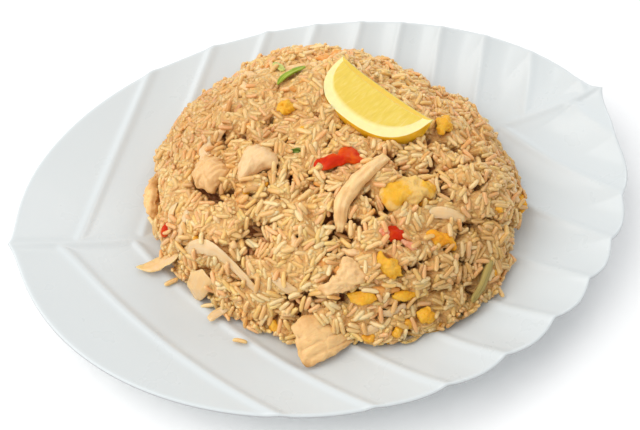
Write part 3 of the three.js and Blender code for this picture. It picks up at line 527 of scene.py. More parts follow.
def clump_lift(bearing, tilt):
    """Lumps less sharp-edged pits."""
    return lump_lift(bearing, tilt) - PIT_DEPTH * pit_share(bearing, tilt)


def heap_seat(bearing, slope, lift=0.0, turn=0.0, pitch=0.0):
    """Place on the heap with its own axes: length down the slope, turned about the outward
    direction and tipped out of the surface, width across it, and out."""
    angle, tilt = math.radians(bearing), math.radians(90 * slope)
    step = 0.04
    origin = heap_point(angle, tilt, lift)
    down = unit(heap_point(angle, tilt + step) - heap_point(angle, tilt - step))
    side = unit(heap_point(angle + step, tilt) - heap_point(angle - step, tilt))
    out = unit(np.cross(down, side))
    side = np.cross(out, down)
    turned, tipped = math.radians(turn), math.radians(pitch)
    length = down * math.cos(turned) + side * math.sin(turned)
    width = np.cross(out, length)
    length = length * math.cos(tipped) + out * math.sin(tipped)
    return origin, length, width, np.cross(length, width)


def lying_seat(first, second, third):
    """Place in the plane of three points, in the middle of them, with its length from the
    first to the second."""
    first, second, third = (np.array(point, float) for point in (first, second, third))
    along = unit(second - first)
    out = unit(np.cross(second - first, third - first))
    return (first + second + third) / 3, along, np.cross(out, along), out


CHART_REACH = 112.0
CHART_CELL = 0.8
CHART_SIZE = int(2 * CHART_REACH / CHART_CELL) + 4
NO_GRAIN = -99.0  # a cell that no grain reaches
BARE_LEVEL = -9.0  # level where no grain is near
LEAST_WEIGHT = 0.3


def chart_place(bearing, tilt):
    """Row and column on a flat chart of the heap, where the distance from the middle goes
    with the tilt."""
    away = CHART_REACH * tilt / (math.pi / 2)
    row = (CHART_REACH + away * np.sin(bearing)) / CHART_CELL + 1
    column = (CHART_REACH + away * np.cos(bearing)) / CHART_CELL + 1
    return row, column


def grain_level(balls):
    """Chart of the level that the grains reach: the highest in each cell, averaged over the
    cells near by with the weights of a bell curve; far below where there is no grain."""
    x, y, z = balls[:, 0] - HEAP_X, balls[:, 1] - HEAP_Y, balls[:, 2] - FLOOR_HEIGHT
    bearing = np.arctan2(y, x)
    half = HEAP_SQUARENESS / 2
    tilt = np.arctan2(
        (np.hypot(x, y) / heap_reach(bearing)) ** half, (np.maximum(z, 0) / HEAP_RISE) ** half
    )
    away = balls[:, :3] - heap_point(bearing, tilt)
    height = np.einsum("ij,ij->i", away, outward(bearing, tilt)) + GRAIN_FLATNESS * balls[:, 3]
    places = chart_place(bearing, np.minimum(tilt, math.pi / 2))
    row, column = (np.rint(place).astype(int) for place in places)
    top = np.full((CHART_SIZE, CHART_SIZE), NO_GRAIN)
    np.maximum.at(top, (row, column), height)
    filled = (top > NO_GRAIN).astype(float)
    total, weight = top * filled, filled
    for axis in (0, 1):
        steps = [(step, math.exp(-((step * CHART_CELL / FILL_BLUR) ** 2))) for step in range(-3, 4)]
        total = sum(share * np.roll(total, step, axis) for step, share in steps)
        weight = sum(share * np.roll(weight, step, axis) for step, share in steps)
    level = total / np.maximum(weight, LEAST_WEIGHT)
    return np.where(weight > LEAST_WEIGHT, level, BARE_LEVEL)


def chart_value(chart, bearing, tilt):
    """Value of a chart between its cells, blended from the four nearest."""
    row, column = chart_place(bearing, tilt)
    i, j = np.floor(row).astype(int), np.floor(column).astype(int)
    u, v = row - i, column - j
    upper = chart[i, j] * (1 - v) + chart[i, j + 1] * v
    lower = chart[i + 1, j] * (1 - v) + chart[i + 1, j + 1] * v
    return upper * (1 - u) + lower * u


PAINTED_SHADE_COLOUR = (0.80, 0.775, 0.70)  # what the rice's colour is multiplied by where painted shade darkens it
PAINTED_SHADE_PLACES = (
    # middle, reach and share of the parts where the rice is darkened with painted shade: the right and
    # front-right sides, the rice under the front flake, and less on the lit back-left
    (dome(np.radians(-50.0), np.radians(62.0)), 30.0, 1.0),
    (dome(np.radians(-72.0), np.radians(77.0)), 24.0, 1.0),
    (dome(np.radians(-12.0), np.radians(70.0)), 24.0, 1.0),
    (dome(np.radians(140.0), np.radians(42.0)), 40.0, 0.45),
)


def painted_shade_share(points):
    """How much painted shade darkens the rice: bell shapes round the named places."""
    bells = [share * bell(points, place, reach) for place, reach, share in PAINTED_SHADE_PLACES]
    return np.minimum(1.0, np.sum(bells, axis=0))


def core_surface(settings, level):
    """The rice between the grains: the heap's surface a little below the level that the
    grains reach, sunk into pits, from the top down to the dish and in under itself. Also
    returns a share of painted shade that is high where the core lies deep below the lumps."""
    columns, rows = 560, 150
    bearing = np.linspace(0, TURN, columns, endpoint=False)
    tilt = np.linspace(1e-3, LAST_TILT, rows) ** 0.95 * LAST_TILT**0.05
    bearings, tilts = np.meshgrid(bearing, tilt)
    points = heap_point(bearings, tilts)
    lumps = lump_lift(bearings, tilts)
    bare = clump_lift(bearings, tilts) - CORE_DEPTH
    pits = pit_share(bearings, tilts)
    deep = FILL_DEPTH + 0.35 * cell_noise(points, 15.0, SEED + 61) - 0.5 * (1 - lumpy_share(points))
    fill = np.minimum(chart_value(level, bearings, tilts) - deep, lumps + 1.8) - 7.0 * pits
    uneven = 0.3 * cell_noise(points, 2.3, SEED + 5) + 0.18 * cell_noise(points, 1.1, SEED + 6)
    rise = np.maximum(bare, fill) + uneven
    points += outward(bearings, tilts) * rise[..., None]
    points[..., 2] = np.maximum(points[..., 2], ground_under(points, settings) + 0.3)
    foot = points[-1:].copy()
    inner = foot * 0.6 + HEAP_MIDDLE * 0.4
    for ring in (foot, inner):
        ring[..., 2] = ground_under(ring, settings)
    middle = inner * 1e-3 + np.array([HEAP_X, HEAP_Y, FLOOR_HEIGHT + 0.2]) * (1 - 1e-3)
    rings = np.concatenate([points, foot, inner, middle])
    dark = np.zeros(rings.shape[:2])
    # painted shade: high where the core lies deep below the lumps, so the core is painted brown in its
    # hollows
    dark[:rows] = smooth(lumps - rise, 1.8, 3.6)
    return rings, dark


# Meshes


def ring_faces(rows, columns):
    """Quads between neighbouring rings of a lattice, closed round each ring, and a fan of
    triangles to the middle point over the first ring and over the last."""
    row, column = np.meshgrid(np.arange(rows - 1), np.arange(columns), indexing="ij")
    following = (column + 1) % columns
    here, below = row * columns, (row + 1) * columns
    quads = np.stack([here + column, below + column, below + following, here + following], -1)
    around = np.arange(columns)
    onwards = (around + 1) % columns
    first, last = rows * columns, rows * columns + 1
    far = (rows - 1) * columns
    top = np.stack([np.full(columns, first), around, onwards], -1)
    bottom = np.stack([np.full(columns, last), far + onwards, far + around], -1)
    return quads.reshape(-1, 4).tolist() + top.tolist() + bottom.tolist()


def faces_outward(vertices, faces):
    """The faces, all turned round if the volume that they enclose comes out negative."""
    corners = np.asarray(vertices)[np.array([face[:3] for face in faces])]
    fourth = np.asarray(vertices)[np.array([face[-1] for face in faces])]
    volume = np.einsum("ij,ij->i", corners[:, 0], np.cross(corners[:, 1], corners[:, 2])).sum()
    volume += np.einsum("ij,ij->i", corners[:, 0], np.cross(corners[:, 2], fourth)).sum()
    return faces if volume > 0 else [face[::-1] for face in faces]


def put_piece(name, vertices, faces, material, slot, nodes=(), values=None):
    """Object from vertices in millimetres and faces, riding on the root body."""
    old = bpy.data.objects.get(name)
    if old is not None:
        bpy.data.objects.remove(old)
    mesh = bpy.data.meshes.new(name)
    mesh.from_pydata((np.asarray(vertices) * MM).tolist(), [], faces_outward(vertices, faces))
    mesh.polygons.foreach_set("use_smooth", np.ones(len(mesh.polygons), bool))
    for key, value in (values or {}).items():
        value = np.asarray(value, np.float32)
        if value.ndim == 1:
            mesh.attributes.new(key, "FLOAT", "POINT").data.foreach_set("value", value)
        else:
            field = mesh.attributes.new(key, "FLOAT_VECTOR", "POINT")
            field.data.foreach_set("vector", value.ravel())
    mesh.update()
    mesh.materials.append(material)
    piece = bpy.data.objects.new(name, mesh)
    bpy.context.scene.collection.objects.link(piece)
    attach(piece, "root")
    if nodes:
        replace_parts(piece, *nodes)
    return piece


def with_middles(field):
    """Values of a lattice in one row, followed by the means of its first and last ring."""
    means = np.stack([field[0].mean(0), field[-1].mean(0)])
    return np.concatenate([field.reshape(-1, *field.shape[2:]), means])


def put_rings(name, rings, material, slot, nodes=(), values=None):
    """Piece from a lattice of closed rings, with a middle point over each end."""
    held = {key: with_middles(value) for key, value in (values or {}).items()}
    faces = ring_faces(*rings.shape[:2])
    return put_piece(name, with_middles(rings), faces, material, slot, nodes, held)


def ring_normals(rings):
    """Outward directions of a ring lattice, from the cross of its two tangents."""
    around = np.roll(rings, -1, axis=1) - np.roll(rings, 1, axis=1)
    along = np.gradient(rings, axis=0)
    return unit(np.cross(along, around))


# Toppings


def corner_radius(corners, angles):
    """Outline radius at each angle where the outline is a polygon: how far a line from the
    middle goes until it crosses an edge, with the corners taken off a little."""
    here = np.asarray(corners, float)
    edge = np.roll(here, -1, axis=0) - here
    line = np.stack([np.cos(angles), np.sin(angles)], -1)[:, None]
    across = line[..., 0] * edge[:, 1] - line[..., 1] * edge[:, 0]
    across = np.where(np.abs(across) < 1e-9, 1e-9, across)
    reach = (here[:, 0] * edge[:, 1] - here[:, 1] * edge[:, 0]) / across
    place = (here[:, 0] * line[..., 1] - here[:, 1] * line[..., 0]) / across
    crossed = (reach > 0) & (place >= -1e-6) & (place <= 1 + 1e-6)
    radius = np.where(crossed, reach, 0).max(axis=1)
    return (np.roll(radius, 1) + 2 * radius + np.roll(radius, -1)) / 4


def outline_radius(radii, angles):
    """Outline radius at each angle: the given radii in equal steps, joined by a cosine."""
    place = angles / TURN * len(radii)
    index = np.floor(place).astype(int)
    share = (1 - np.cos(np.pi * (place - index))) / 2
    radii = np.asarray(radii, float)
    return radii[index % len(radii)] * (1 - share) + radii[(index + 1) % len(radii)] * share


def flake_rings(seat, size, radii, crown=0.3, edge=0.6, ragged=0.0, seed=0):
    """Flat uneven piece: an outline, given as shares of half the size or as corners, and
    ragged by noise, shrinks to both faces by a power of a cosine while the height goes as a
    sine; the middle is crowned and the whole bent over the heap. Returns points, flow
    coordinates and the share of the way to the outline."""
    origin, along, across, out = seat
    length, width, thick = size
    angle = np.linspace(0, TURN, 96, endpoint=False)
    level = np.linspace(math.pi / 2 - 0.03, -math.pi / 2 + 0.03, 34)
    angles, levels = np.meshgrid(angle, level)
    share = np.cos(levels) ** edge
    if np.ndim(radii) == 2:
        reach = np.broadcast_to(corner_radius(radii, angle), angles.shape)
        around = float(reach.mean())
    else:
        reach = outline_radius(radii, angles)
        around = (length + width) / 4
    spot = np.stack([np.cos(angles), np.sin(angles), 0 * angles], -1) * around
    radius = reach * (1 + ragged * layered_noise(spot, 3.4, seed, 2)) * share
    x = length / 2 * radius * np.cos(angles)
    y = width / 2 * radius * np.sin(angles)
    rise = thick / 2 * np.sin(levels) * (1 + crown * (1 - share**2)) - (x * x + y * y) / HUG
    points = origin + x[..., None] * along + y[..., None] * across + rise[..., None] * out
    return points, np.stack([x, y, rise], -1), share


def smooth_path(points, steps):
    """Curve through points: each stretch is the cubic whose ends have the slope between
    their neighbours. Returns places and unit tangents."""
    points = np.asarray(points, float)
    padded = np.concatenate([2 * points[:1] - points[1:2], points, 2 * points[-1:] - points[-2:-1]])
    place = np.linspace(0, len(points) - 1, steps)
    index = np.minimum(place.astype(int), len(points) - 2)
    t = (place - index)[:, None]
    before, start, end, after = (padded[index + k] for k in range(4))
    path = 0.5 * (
        2 * start
        + (end - before) * t
        + (2 * before - 5 * start + 4 * end - after) * t**2
        + (3 * start - before - 3 * end + after) * t**3
    )
    return path, unit(np.gradient(path, axis=0))


def strand_rings(points, flat, width, thick, taper=0.35, fall=3.0, widths=(1, 1)):
    """Oval section carried along a smooth path, tapered to both ends by a power and rounded
    off. Returns points, flow coordinates and the share of the way to the edge."""
    rows, columns = 64, 26
    path, tangent = smooth_path(points, rows)
    across = unit(np.cross(flat, tangent))
    up = np.cross(tangent, across)
    middle = np.abs(np.linspace(-1, 1, rows))
    size = (1 - taper * middle**fall) * np.sqrt(np.maximum(1 - middle**16, 0.003))
    wide = size * np.interp(np.linspace(0, 1, rows), np.linspace(0, 1, len(widths)), widths)
    angle = -np.linspace(0, TURN, columns, endpoint=False)
    x, y = np.cos(angle), np.sin(angle)
    rings = (
        path[:, None]
        + across[:, None] * (width / 2 * wide)[:, None, None] * x[None, :, None]
        + up[:, None] * (thick / 2 * size)[:, None, None] * y[None, :, None]
    )
    gone = np.concatenate([[0], np.cumsum(np.linalg.norm(np.diff(path, axis=0), axis=1))])
    flow = np.stack(np.broadcast_arrays(
        gone[:, None], width / 2 * wide[:, None] * x[None], thick / 2 * size[:, None] * y[None]
    ), -1)
    share = np.broadcast_to(np.abs(x)[None], flow.shape[:2])
    return rings[::-1], flow[::-1], share[::-1]


def heap_path(places):
    """Points on the heap at bearing, slope and lift, and the direction out at the middle."""
    points = [heap_point(math.radians(b), math.radians(90 * s), lift) for b, s, lift in places]
    b, s, _ = places[len(places) // 2]
    return np.array(points), outward(np.radians(float(b)), np.radians(90.0 * s))


def rough_up(rings, flow, fibre=0.0, lump=0.0, lump_size=4.0, fine=0.0, seed=0, furrows=()):
    """Moves a surface along its own outward direction: ridges drawn out along the flow,
    lumps of a given size, fine grain, and furrows along the flow that wander a little."""
    drawn = flow * np.array([0.16, 1.0, 1.0])
    amount = fibre * layered_noise(drawn, 1.5, seed, 2)
    amount += lump * layered_noise(rings, lump_size, seed + 3)
    amount += fine * cell_noise(rings, 0.8, seed + 9)
    for place, depth in furrows:
        away = flow[..., 1] - place - 0.4 * np.sin(flow[..., 0] * 0.35 + place)
        amount -= depth * np.exp(-((away / 0.5) ** 2)) * (flow[..., 2] > 0)
    return rings + ring_normals(rings) * amount[..., None]


HUG = 150.0  # twice the radius to which flat pieces are bent, in millimetres
CORNER_SIZE = (2.0, 2.0)  # half of it is 1 mm, because corners are given in millimetres

CHICKEN = (
    dict(
        node="chicken_strip", width=7.4, thick=5.6, taper=0.45, fall=2.0, brown=0.2, grain=0.22,
        furrows=((-1.2, 0.8), (1.1, 0.7)), shaded=1, cream=(1.05, 1.12, 1.2),
        path=(
            (-46, 0.155, 0.8), (-73, 0.163, 2.4), (-94, 0.21, 3), (-103.5, 0.285, 3), (-105, 0.38, 0.4),
        ),
    ),
    dict(
        node="chicken_slice_front",
        lies_on=((-35.7, -81.2, 18.0), (-12.0, -75.0, 15.6), (-28.0, -63.0, 27.0)), thick=4.0, brown=0.12,
        grain=0.35, furrows=((-3.6, 0.6), (1.5, 0.7), (6.5, 0.8)), ragged=0.05, crown=0.1,
        burnt=(-12.5, -6.4, 5.0), cream=(1.03, 1.04, 1.02),
        corners=(
            (-12.3, 12.7), (-11.4, 7.4), (-12.2, 3.0), (-13.0, -2.0), (-12.5, -6.4), (-9.9, -7.3),
            (-3.7, -6.8), (5.5, -6.7), (11.6, -5.1), (15.0, -2.8), (12.9, 0.6), (9.0, 6.6), (5.1, 10.7),
            (1.0, 13.4), (-5.1, 14.1),
        ),
    ),
    dict(
        node="chicken_flake_front", seat=(-104, 0.58, 2.0, 84, -4), thick=4.2, crown=0.15, brown=0.08,
        grain=0.6, ragged=0.1, cream=(1.0, 1.03, 1.08), lumps=(0.9, 2.8),
        corners=(
            (-11.7, -7.6), (-7.8, -8.0), (1.2, -5.7), (8.7, -1.2), (13.0, 2.6), (11.7, 5.4), (8.2, 5.6),
            (5.8, 8.3), (2.5, 10.4), (-2.0, 8.6), (-2.9, 5.0), (-4.2, 1.2), (-7.6, -1.6), (-11.5, -4.2),
        ),
    ),
    dict(
        node="chicken_curl", seat=(-173.5, 0.2455, 1.2, 20, 0), thick=8.5, crown=0.2, brown=0.04,
        grain=0.35, ragged=0.05, cream=(0.96, 1.03, 1.2), lumps=(0.5, 5.0),
        corners=(
            (10.3, -1.4), (6.7, -4.6), (2.6, -6.9), (-1.7, -7.2), (-5.5, -5.1), (-7.3, -0.2), (-7.4, 5.4),
            (-5.4, 9.6), (-2.0, 9.9), (-0.1, 6.6), (3.2, 5.1), (7.0, 3.5), (10.6, 4.5), (13.0, 3.7),
        ),
    ),
    dict(
        node="chicken_chunk_left", seat=(179, 0.44, 1.6, 20, 0), thick=9, brown=0.1, grain=0.4,
        furrows=((2.5, 0.9), (-1.5, 0.9), (5.5, 0.8)), ragged=0.12, cream=(0.92, 0.89, 0.86),
        corners=(
            (5.2, -6.3), (-0.1, -9.6), (-5.0, -9.4), (-8.1, -6.2), (-9.6, 0.2), (-9.1, 5.7), (-5.0, 8.4),
            (0.0, 8.2), (3.8, 9.0), (5.3, 5.2), (7.2, 0.8),
        ),
    ),
    dict(
        node="chicken_edge_left", seat=(171, 0.82, 0.4, 80, 0), size=(21, 12.5, 6.0),
        radii=(1, 0.8, 1.05, 0.95, 0.85, 1.05, 0.9, 0.8), brown=0.7, grain=0.5, ragged=0.16,
        cream=(1.1, 1.1, 1.05), lumps=(0.9, 3.2),
    ),
)

ROUND = (1, 0.95, 1, 1.05, 0.95, 1, 1.05, 0.92)
RAGGED = (1, 0.8, 1.1, 0.85, 1.05, 0.75, 1, 0.9)
STAR = (1.1, 0.7, 1.15, 0.72, 1.05, 0.66, 1.1, 0.75, 1.0, 0.7)

EGG = (
    dict(
        node="egg_large", seat=(-60, 0.31, 0.6, 65, 0), thick=7, warm=0.1, border=1,
        yolks=((-8.0, 2.0, 10.5), (7.5, 1.0, 6.0)),
        corners=(
            (-14.4, 5.6), (-15.0, 0.0), (-12.0, -4.5), (-6.4, -4.2), (-1.3, -7.0), (3.9, -3.4),
            (9.1, -3.4), (10.7, 2.6), (6.5, 6.0), (1.7, 8.6), (-4.5, 10.2), (-10.4, 8.6),
        ),
    ),
    dict(
        node="egg_front", seat=(-87, 0.54, 0.9, 20, 0), thick=6, warm=0.3, border=0,
        corners=(
            (-6.7, -5.2), (-8.6, -1.5), (-8.4, 0.7), (-5.0, 0.6), (-2.5, 2.0), (-0.4, 3.4), (4.2, 3.0),
            (7.5, 2.1), (4.9, 0.0), (5.8, -2.3), (3.4, -3.4), (1.0, -5.1), (-1.1, -4.6), (-4.1, -5.4),
        ),
    ),
    dict(
        node="egg_orange", seat=(-64, 0.52, 0.5, 50, 0), thick=4.5, warm=0.9, border=0,
        corners=(
            (-7.9, 2.1), (-4.7, 4.0), (-0.2, 3.2), (3.7, 2.6), (7.2, 0.9), (8.7, -2.4), (6.5, -4.6),
            (3.3, -2.7), (-0.8, -3.1), (-4.3, -1.9),
        ),
    ),
    dict(
        node="egg_slice_left", seat=(-98.5, 0.7, 2.6, 80, 0), thick=4, warm=0.3, border=-1,
        corners=(
            (-7.2, 2.8), (-4.6, 4.0), (0.6, 5.2), (5.0, 4.4), (6.8, 2.3), (4.1, -0.2), (-0.2, -1.6),
            (-4.3, -0.6),
        ),
    ),
    dict(
        node="egg_slice_right", seat=(-84, 0.7, 1.4, 88, 0), thick=3.6, warm=0.3, border=-1,
        corners=(
            (-6.6, 1.8), (-4.1, 3.3), (0.9, 2.4), (4.3, 0.6), (6.5, -2.0), (3.4, -3.0), (-1.6, -2.1),
            (-5.6, -0.6),
        ),
    ),
    dict(
        node="egg_low", seat=(-79.6, 0.83, 4.2, 60, 0), size=(9.5, 8, 5), radii=RAGGED, warm=0.3,
        border=0,
    ),
    dict(
        node="egg_back", seat=(128, 0.17, 0.9, 30, 0), size=(9.5, 8, 5), radii=RAGGED, warm=0.15,
        border=0,
    ),
    dict(
        node="egg_by_lemon", seat=(-8, 0.355, 2.0, 60, 0), size=(12, 9, 4.4), radii=RAGGED, warm=0.2,
        border=0,
    ),
    dict(
        node="egg_right_edge", seat=(-26, 0.84, 0.8, 90, 0), size=(10, 8, 5), radii=RAGGED, warm=0.6,
        border=0,
    ),
)

TOMATO = (
    dict(
        node="tomato_top", seat=(-98, 0.1, 2.0, 92, 0), thick=2.8,
        corners=(
            (-12.9, 0.3), (-10.7, 2.7), (-5.5, 3.0), (-1.8, 2.6), (1.4, 5.6), (5.4, 7.4), (8.0, 4.4),
            (11.1, -2.8), (6.9, -3.2), (2.6, -2.1), (-0.9, -3.5), (-6.0, -3.7), (-10.2, -4.6),
            (-12.7, -3.1),
        ),
    ),
    dict(
        node="tomato_right", seat=(-80, 0.42, 0.6, 70, 0), thick=4.4,
        corners=(
            (-5.3, 3.2), (-2.8, 4.4), (0.5, 4.2), (2.9, 1.7), (4.3, -1.6), (1.3, -3.0), (-2.9, -3.4),
            (-5.4, -1.5),
        ),
    ),
    dict(node="tomato_left", seat=(-173.5, 0.757, 1.0, 10, 0), size=(8, 4, 2.8), radii=ROUND),
)

ONION = (
    dict(
        node="onion_lying", width=7.0, thick=2.0, taper=0.6, fall=2.6, golden=0.6,
        widths=(0.5, 1, 1.15, 1.1, 0.9),
        dish_path=(
            (-97, -6, 1.6), (-90.5, -7.2, 2.2), (-84.5, -7.6, 4.8), (-79.8, -10.5, 10.5),
            (-76.5, -12.6, 15.5),
        ),
    ),
    dict(
        node="onion_long", width=6.0, thick=1.9, golden=0.3,
        widths=(0.9, 1.25, 1.25, 0.95, 0.75, 0.65, 0.6, 0.5),
        path=(
            (-163.6, 0.78, 1.2), (-158.7, 0.666, 2.0), (-154.4, 0.616, 2.4), (-149.9, 0.614, 2.5),
            (-144.9, 0.637, 2.5), (-140, 0.669, 2.5), (-135.4, 0.708, 2.2), (-130.8, 0.748, 1.2),
        ),
    ),
    dict(
        node="onion_short",
        path=((-131.6, 0.627, 1.0), (-127.6, 0.642, 2.2), (-123.6, 0.661, 2.2), (-120.1, 0.676, 1.0)),
        width=4.4, thick=1.9, golden=0.25,
    ),
    dict(
        node="onion_chunk", seat=(-153, 0.9, 2.4, -12, 0), thick=2.6, golden=0.7,
        corners=(
            (5.8, -8.0), (5.8, -4.6), (11.0, 0.5), (5.8, 2.6), (-3.0, 4.6), (-11.0, 3.6), (-12.0, -4.0),
            (-4.0, -8.4),
        ),
    ),
    dict(
        node="onion_upright_1",
        path=((-173.1, 0.567, 0.8), (-169.2, 0.633, 2.0), (-166.9, 0.716, 2.2), (-165.6, 0.81, 0.8)),
        width=4.2, thick=1.9, golden=0.3,
    ),
    dict(
        node="onion_upright_2", path=((-178.8, 0.621, 0.8), (-175.1, 0.676, 2.0), (-172.2, 0.756, 0.8)),
        width=3.8, thick=1.8, golden=0.3,
    ),
    dict(
        node="onion_foot", dish_path=((-71, -43, 1.6), (-67, -41, 2.6), (-61, -39.5, 4.6)), width=4.6,
        thick=2.0, golden=0.4,
    ),
    dict(
        node="onion_front_oval", seat=(-96, 0.86, 1.4, 112, 0), size=(11.5, 6.2, 2.8), radii=ROUND,
        golden=0.2,
    ),
    dict(
        node="onion_front_sliver", path=((-93.5, 0.77, 1.2), (-89, 0.775, 2), (-84.5, 0.755, 1.2)),
        width=4, thick=2.0, golden=0.2,
    ),
    dict(
        node="onion_right", path=((-61, 0.4, 1), (-55, 0.45, 2), (-51, 0.52, 1)), width=5.4, thick=2.0,
        golden=0.25,
    ),
    dict(node="onion_back", seat=(165, 0.44, 0.9, 75, 0), size=(17, 5.5, 1.8), radii=RAGGED, golden=0.3),
    dict(
        node="onion_right_edge", path=((-22, 0.62, 1), (-26, 0.68, 1.8), (-29, 0.75, 1)), width=4,
        thick=2.0, golden=0.3,
    ),
)

GREENS = (
    dict(
        node="greens_bright",
        path=((114, 0.28, 2.4), (107, 0.292, 3.0), (99, 0.3, 3.2), (91, 0.315, 3.0)), width=3.8,
        thick=2.0, pale=0.12, widths=(0.5, 1, 1.05, 0.9),
    ),
    dict(
        node="greens_pale", path=((102.5, 0.48, 1.6), (102.8, 0.42, 2.4), (102.5, 0.355, 1.6)), width=3.8,
        thick=2.2, pale=0.75,
    ),
    dict(node="greens_dark", seat=(-165, 0.125, 0.9, 150, 0), size=(9, 3.6, 1.6), radii=STAR, pale=-0.6),
    dict(
        node="greens_stalk",
        path=((-53.4, 0.752, 2.6), (-57.3, 0.776, 3.0), (-61.5, 0.813, 4.0), (-65.7, 0.857, 5.0)),
        width=5.0, thick=3, pale=0.9, tint=(0.7, 0.5, 0.48),
    ),
)

CRUMBS = {
    # bearing, slope, lift, turn, length, width and thickness of small bits among the grains
    "egg_crumbs": (
        (-126, 0.91, 1.5, 20, 7, 5, 3.2), (-160, 0.65, 1.5, 40, 5.5, 3.5, 3),
        (160, 0.08, 1.0, 0, 5, 4, 3), (-97, 0.9, 1.5, 60, 7.5, 5, 3.5), (-89, 0.87, 1.2, 10, 6.5, 5, 3.5),
        (-85.2, 0.863, 1.9, 80, 7.5, 5, 3.4), (-92, 0.93, 1.6, 30, 5, 3.6, 2.6),
        (-76, 0.92, 1.4, 60, 5, 3.6, 3), (-51, 0.33, 1.0, 30, 8, 6.5, 5), (-58, 0.36, 0.8, 70, 6, 5, 4),
        (-128, 0.52, 0.9, 50, 4, 3, 2.5), (-40, 0.62, 1.2, 20, 5, 3.5, 3),
        (-160, 0.345, 0.9, 40, 5, 4, 3), (-156, 0.285, 0.7, 20, 4, 3.4, 2.6),
        (-54.5, 0.83, 2.0, 40, 7, 4.2, 3),
    ),
    "fried_crumbs": (
        (-53, 0.87, 1.6, 20, 6.5, 5, 3.5), (154, 0.26, 1.3, 40, 5.5, 4.5, 3.5),
        (109, 0.23, 1.2, 96, 15, 3.2, 2.6), (-112, 0.52, 0.8, 40, 9, 6, 2.6),
        (-106, 0.545, 0.7, 80, 8, 4.5, 2.4), (-92, 0.655, 1.0, 85, 17, 5.0, 2.6),
        (-137, 0.88, 1.6, 20, 7, 4, 3), (78, 0.51, 1.0, 70, 6.5, 4, 3), (-66, 0.34, 0.8, 30, 6, 3.2, 2.6),
        (-124, 0.185, 0.8, 60, 5, 3.6, 2.4), (79, 0.44, 2.2, 80, 9, 5, 3), (72, 0.45, 2.0, 70, 8, 4, 3),
    ),
    "pale_crumbs": (
        (129, 0.39, 1.3, 50, 5, 4, 3), (153, 0.37, 1.4, 75, 16, 4, 2), (-29, 0.73, 1.6, 5, 12, 4, 2.2),
        (-148, 0.56, 1.8, 20, 4.6, 4, 3.6), (-100, 0.47, 1.2, 60, 11, 4, 2.4),
        (-125, 0.45, 1.2, 30, 9, 4, 2.6), (-160, 0.5, 1.3, 80, 8, 4.5, 3), (30, 0.35, 1.4, 30, 9, 4, 2.6),
        (85, 0.35, 1.2, 10, 8, 4, 2.5), (-20, 0.2, 1.0, 60, 9, 4, 2.6), (-68, 0.66, 1.5, 40, 9, 4.5, 3),
        (-45, 0.72, 1.4, 70, 9, 4, 2.6), (123, 0.405, 2.0, -20, 12, 4, 2.6),
        (116, 0.46, 1.8, 30, 9, 7, 3.6), (95, 0.38, 1.6, 80, 12, 4, 2.6),
        (141, 0.38, 1.6, 10, 11, 4, 2.4), (-155, 0.62, 1.4, 80, 12, 4.4, 2.4),
    ),
    "pink_crumbs": ((-77, 0.475, 2.2, 30, 12, 3.4, 2.4), (-85, 0.4, 1.6, 60, 6, 4, 2.4)),
}


def topping_rings(item, settings, edge=0.6, seed=0):
    """Rings, flow coordinates and edge share of a topping: a strand if it has a path, else
    a flake."""
    if "path" in item or "dish_path" in item:
        if "path" in item:
            points, flat = heap_path(item["path"])
        else:
            points = np.array(item["dish_path"], float)
            points[:, 2] += ground_under(points, settings)
            flat = UP
        return strand_rings(
            points, flat, item["width"], item["thick"], item.get("taper", 0.35),
            item.get("fall", 3.0), item.get("widths", (1, 1)),
        )
    seat = lying_seat(*item["lies_on"]) if "lies_on" in item else heap_seat(*item["seat"])
    if "corners" in item:
        size, outline = (*CORNER_SIZE, item["thick"]), item["corners"]
    else:
        size, outline = item["size"], item["radii"]
    return flake_rings(seat, size, outline, item.get("crown", 0.3), edge, item.get("ragged", 0.0), seed)


def each_topping(items, suffix, context, edge, seed_step=0):
    """Number, row, piece's name, rings, flow coordinates and edge share of each topping."""
    for index, item in enumerate(items):
        shape = topping_rings(item, context.scene.dish_settings, edge, seed_step * index)
        yield index, item, item["node"] + suffix, *shape


# Lemon

LEMON_STALK = np.array([22.9, 53.0, 60.0])
LEMON_TIP = np.array([49.8, 2.0, 61.0])
LEMON_OPENING = 48.0
LEMON_FACE_DIP = 4.0
LEMON_CORE_WIDTH = 0.2
LEMON_CORE_DROP = 0.08
LEMON_SQUARENESS = 2.6
LEMON_FLESH_REACH = (0.88, 0.9)  # shares of the radius and of half the length that the flesh fills
LEMON_FLESH_SHIFT = 0.03
LEMON_FLESH_SQUARENESS = 2.3


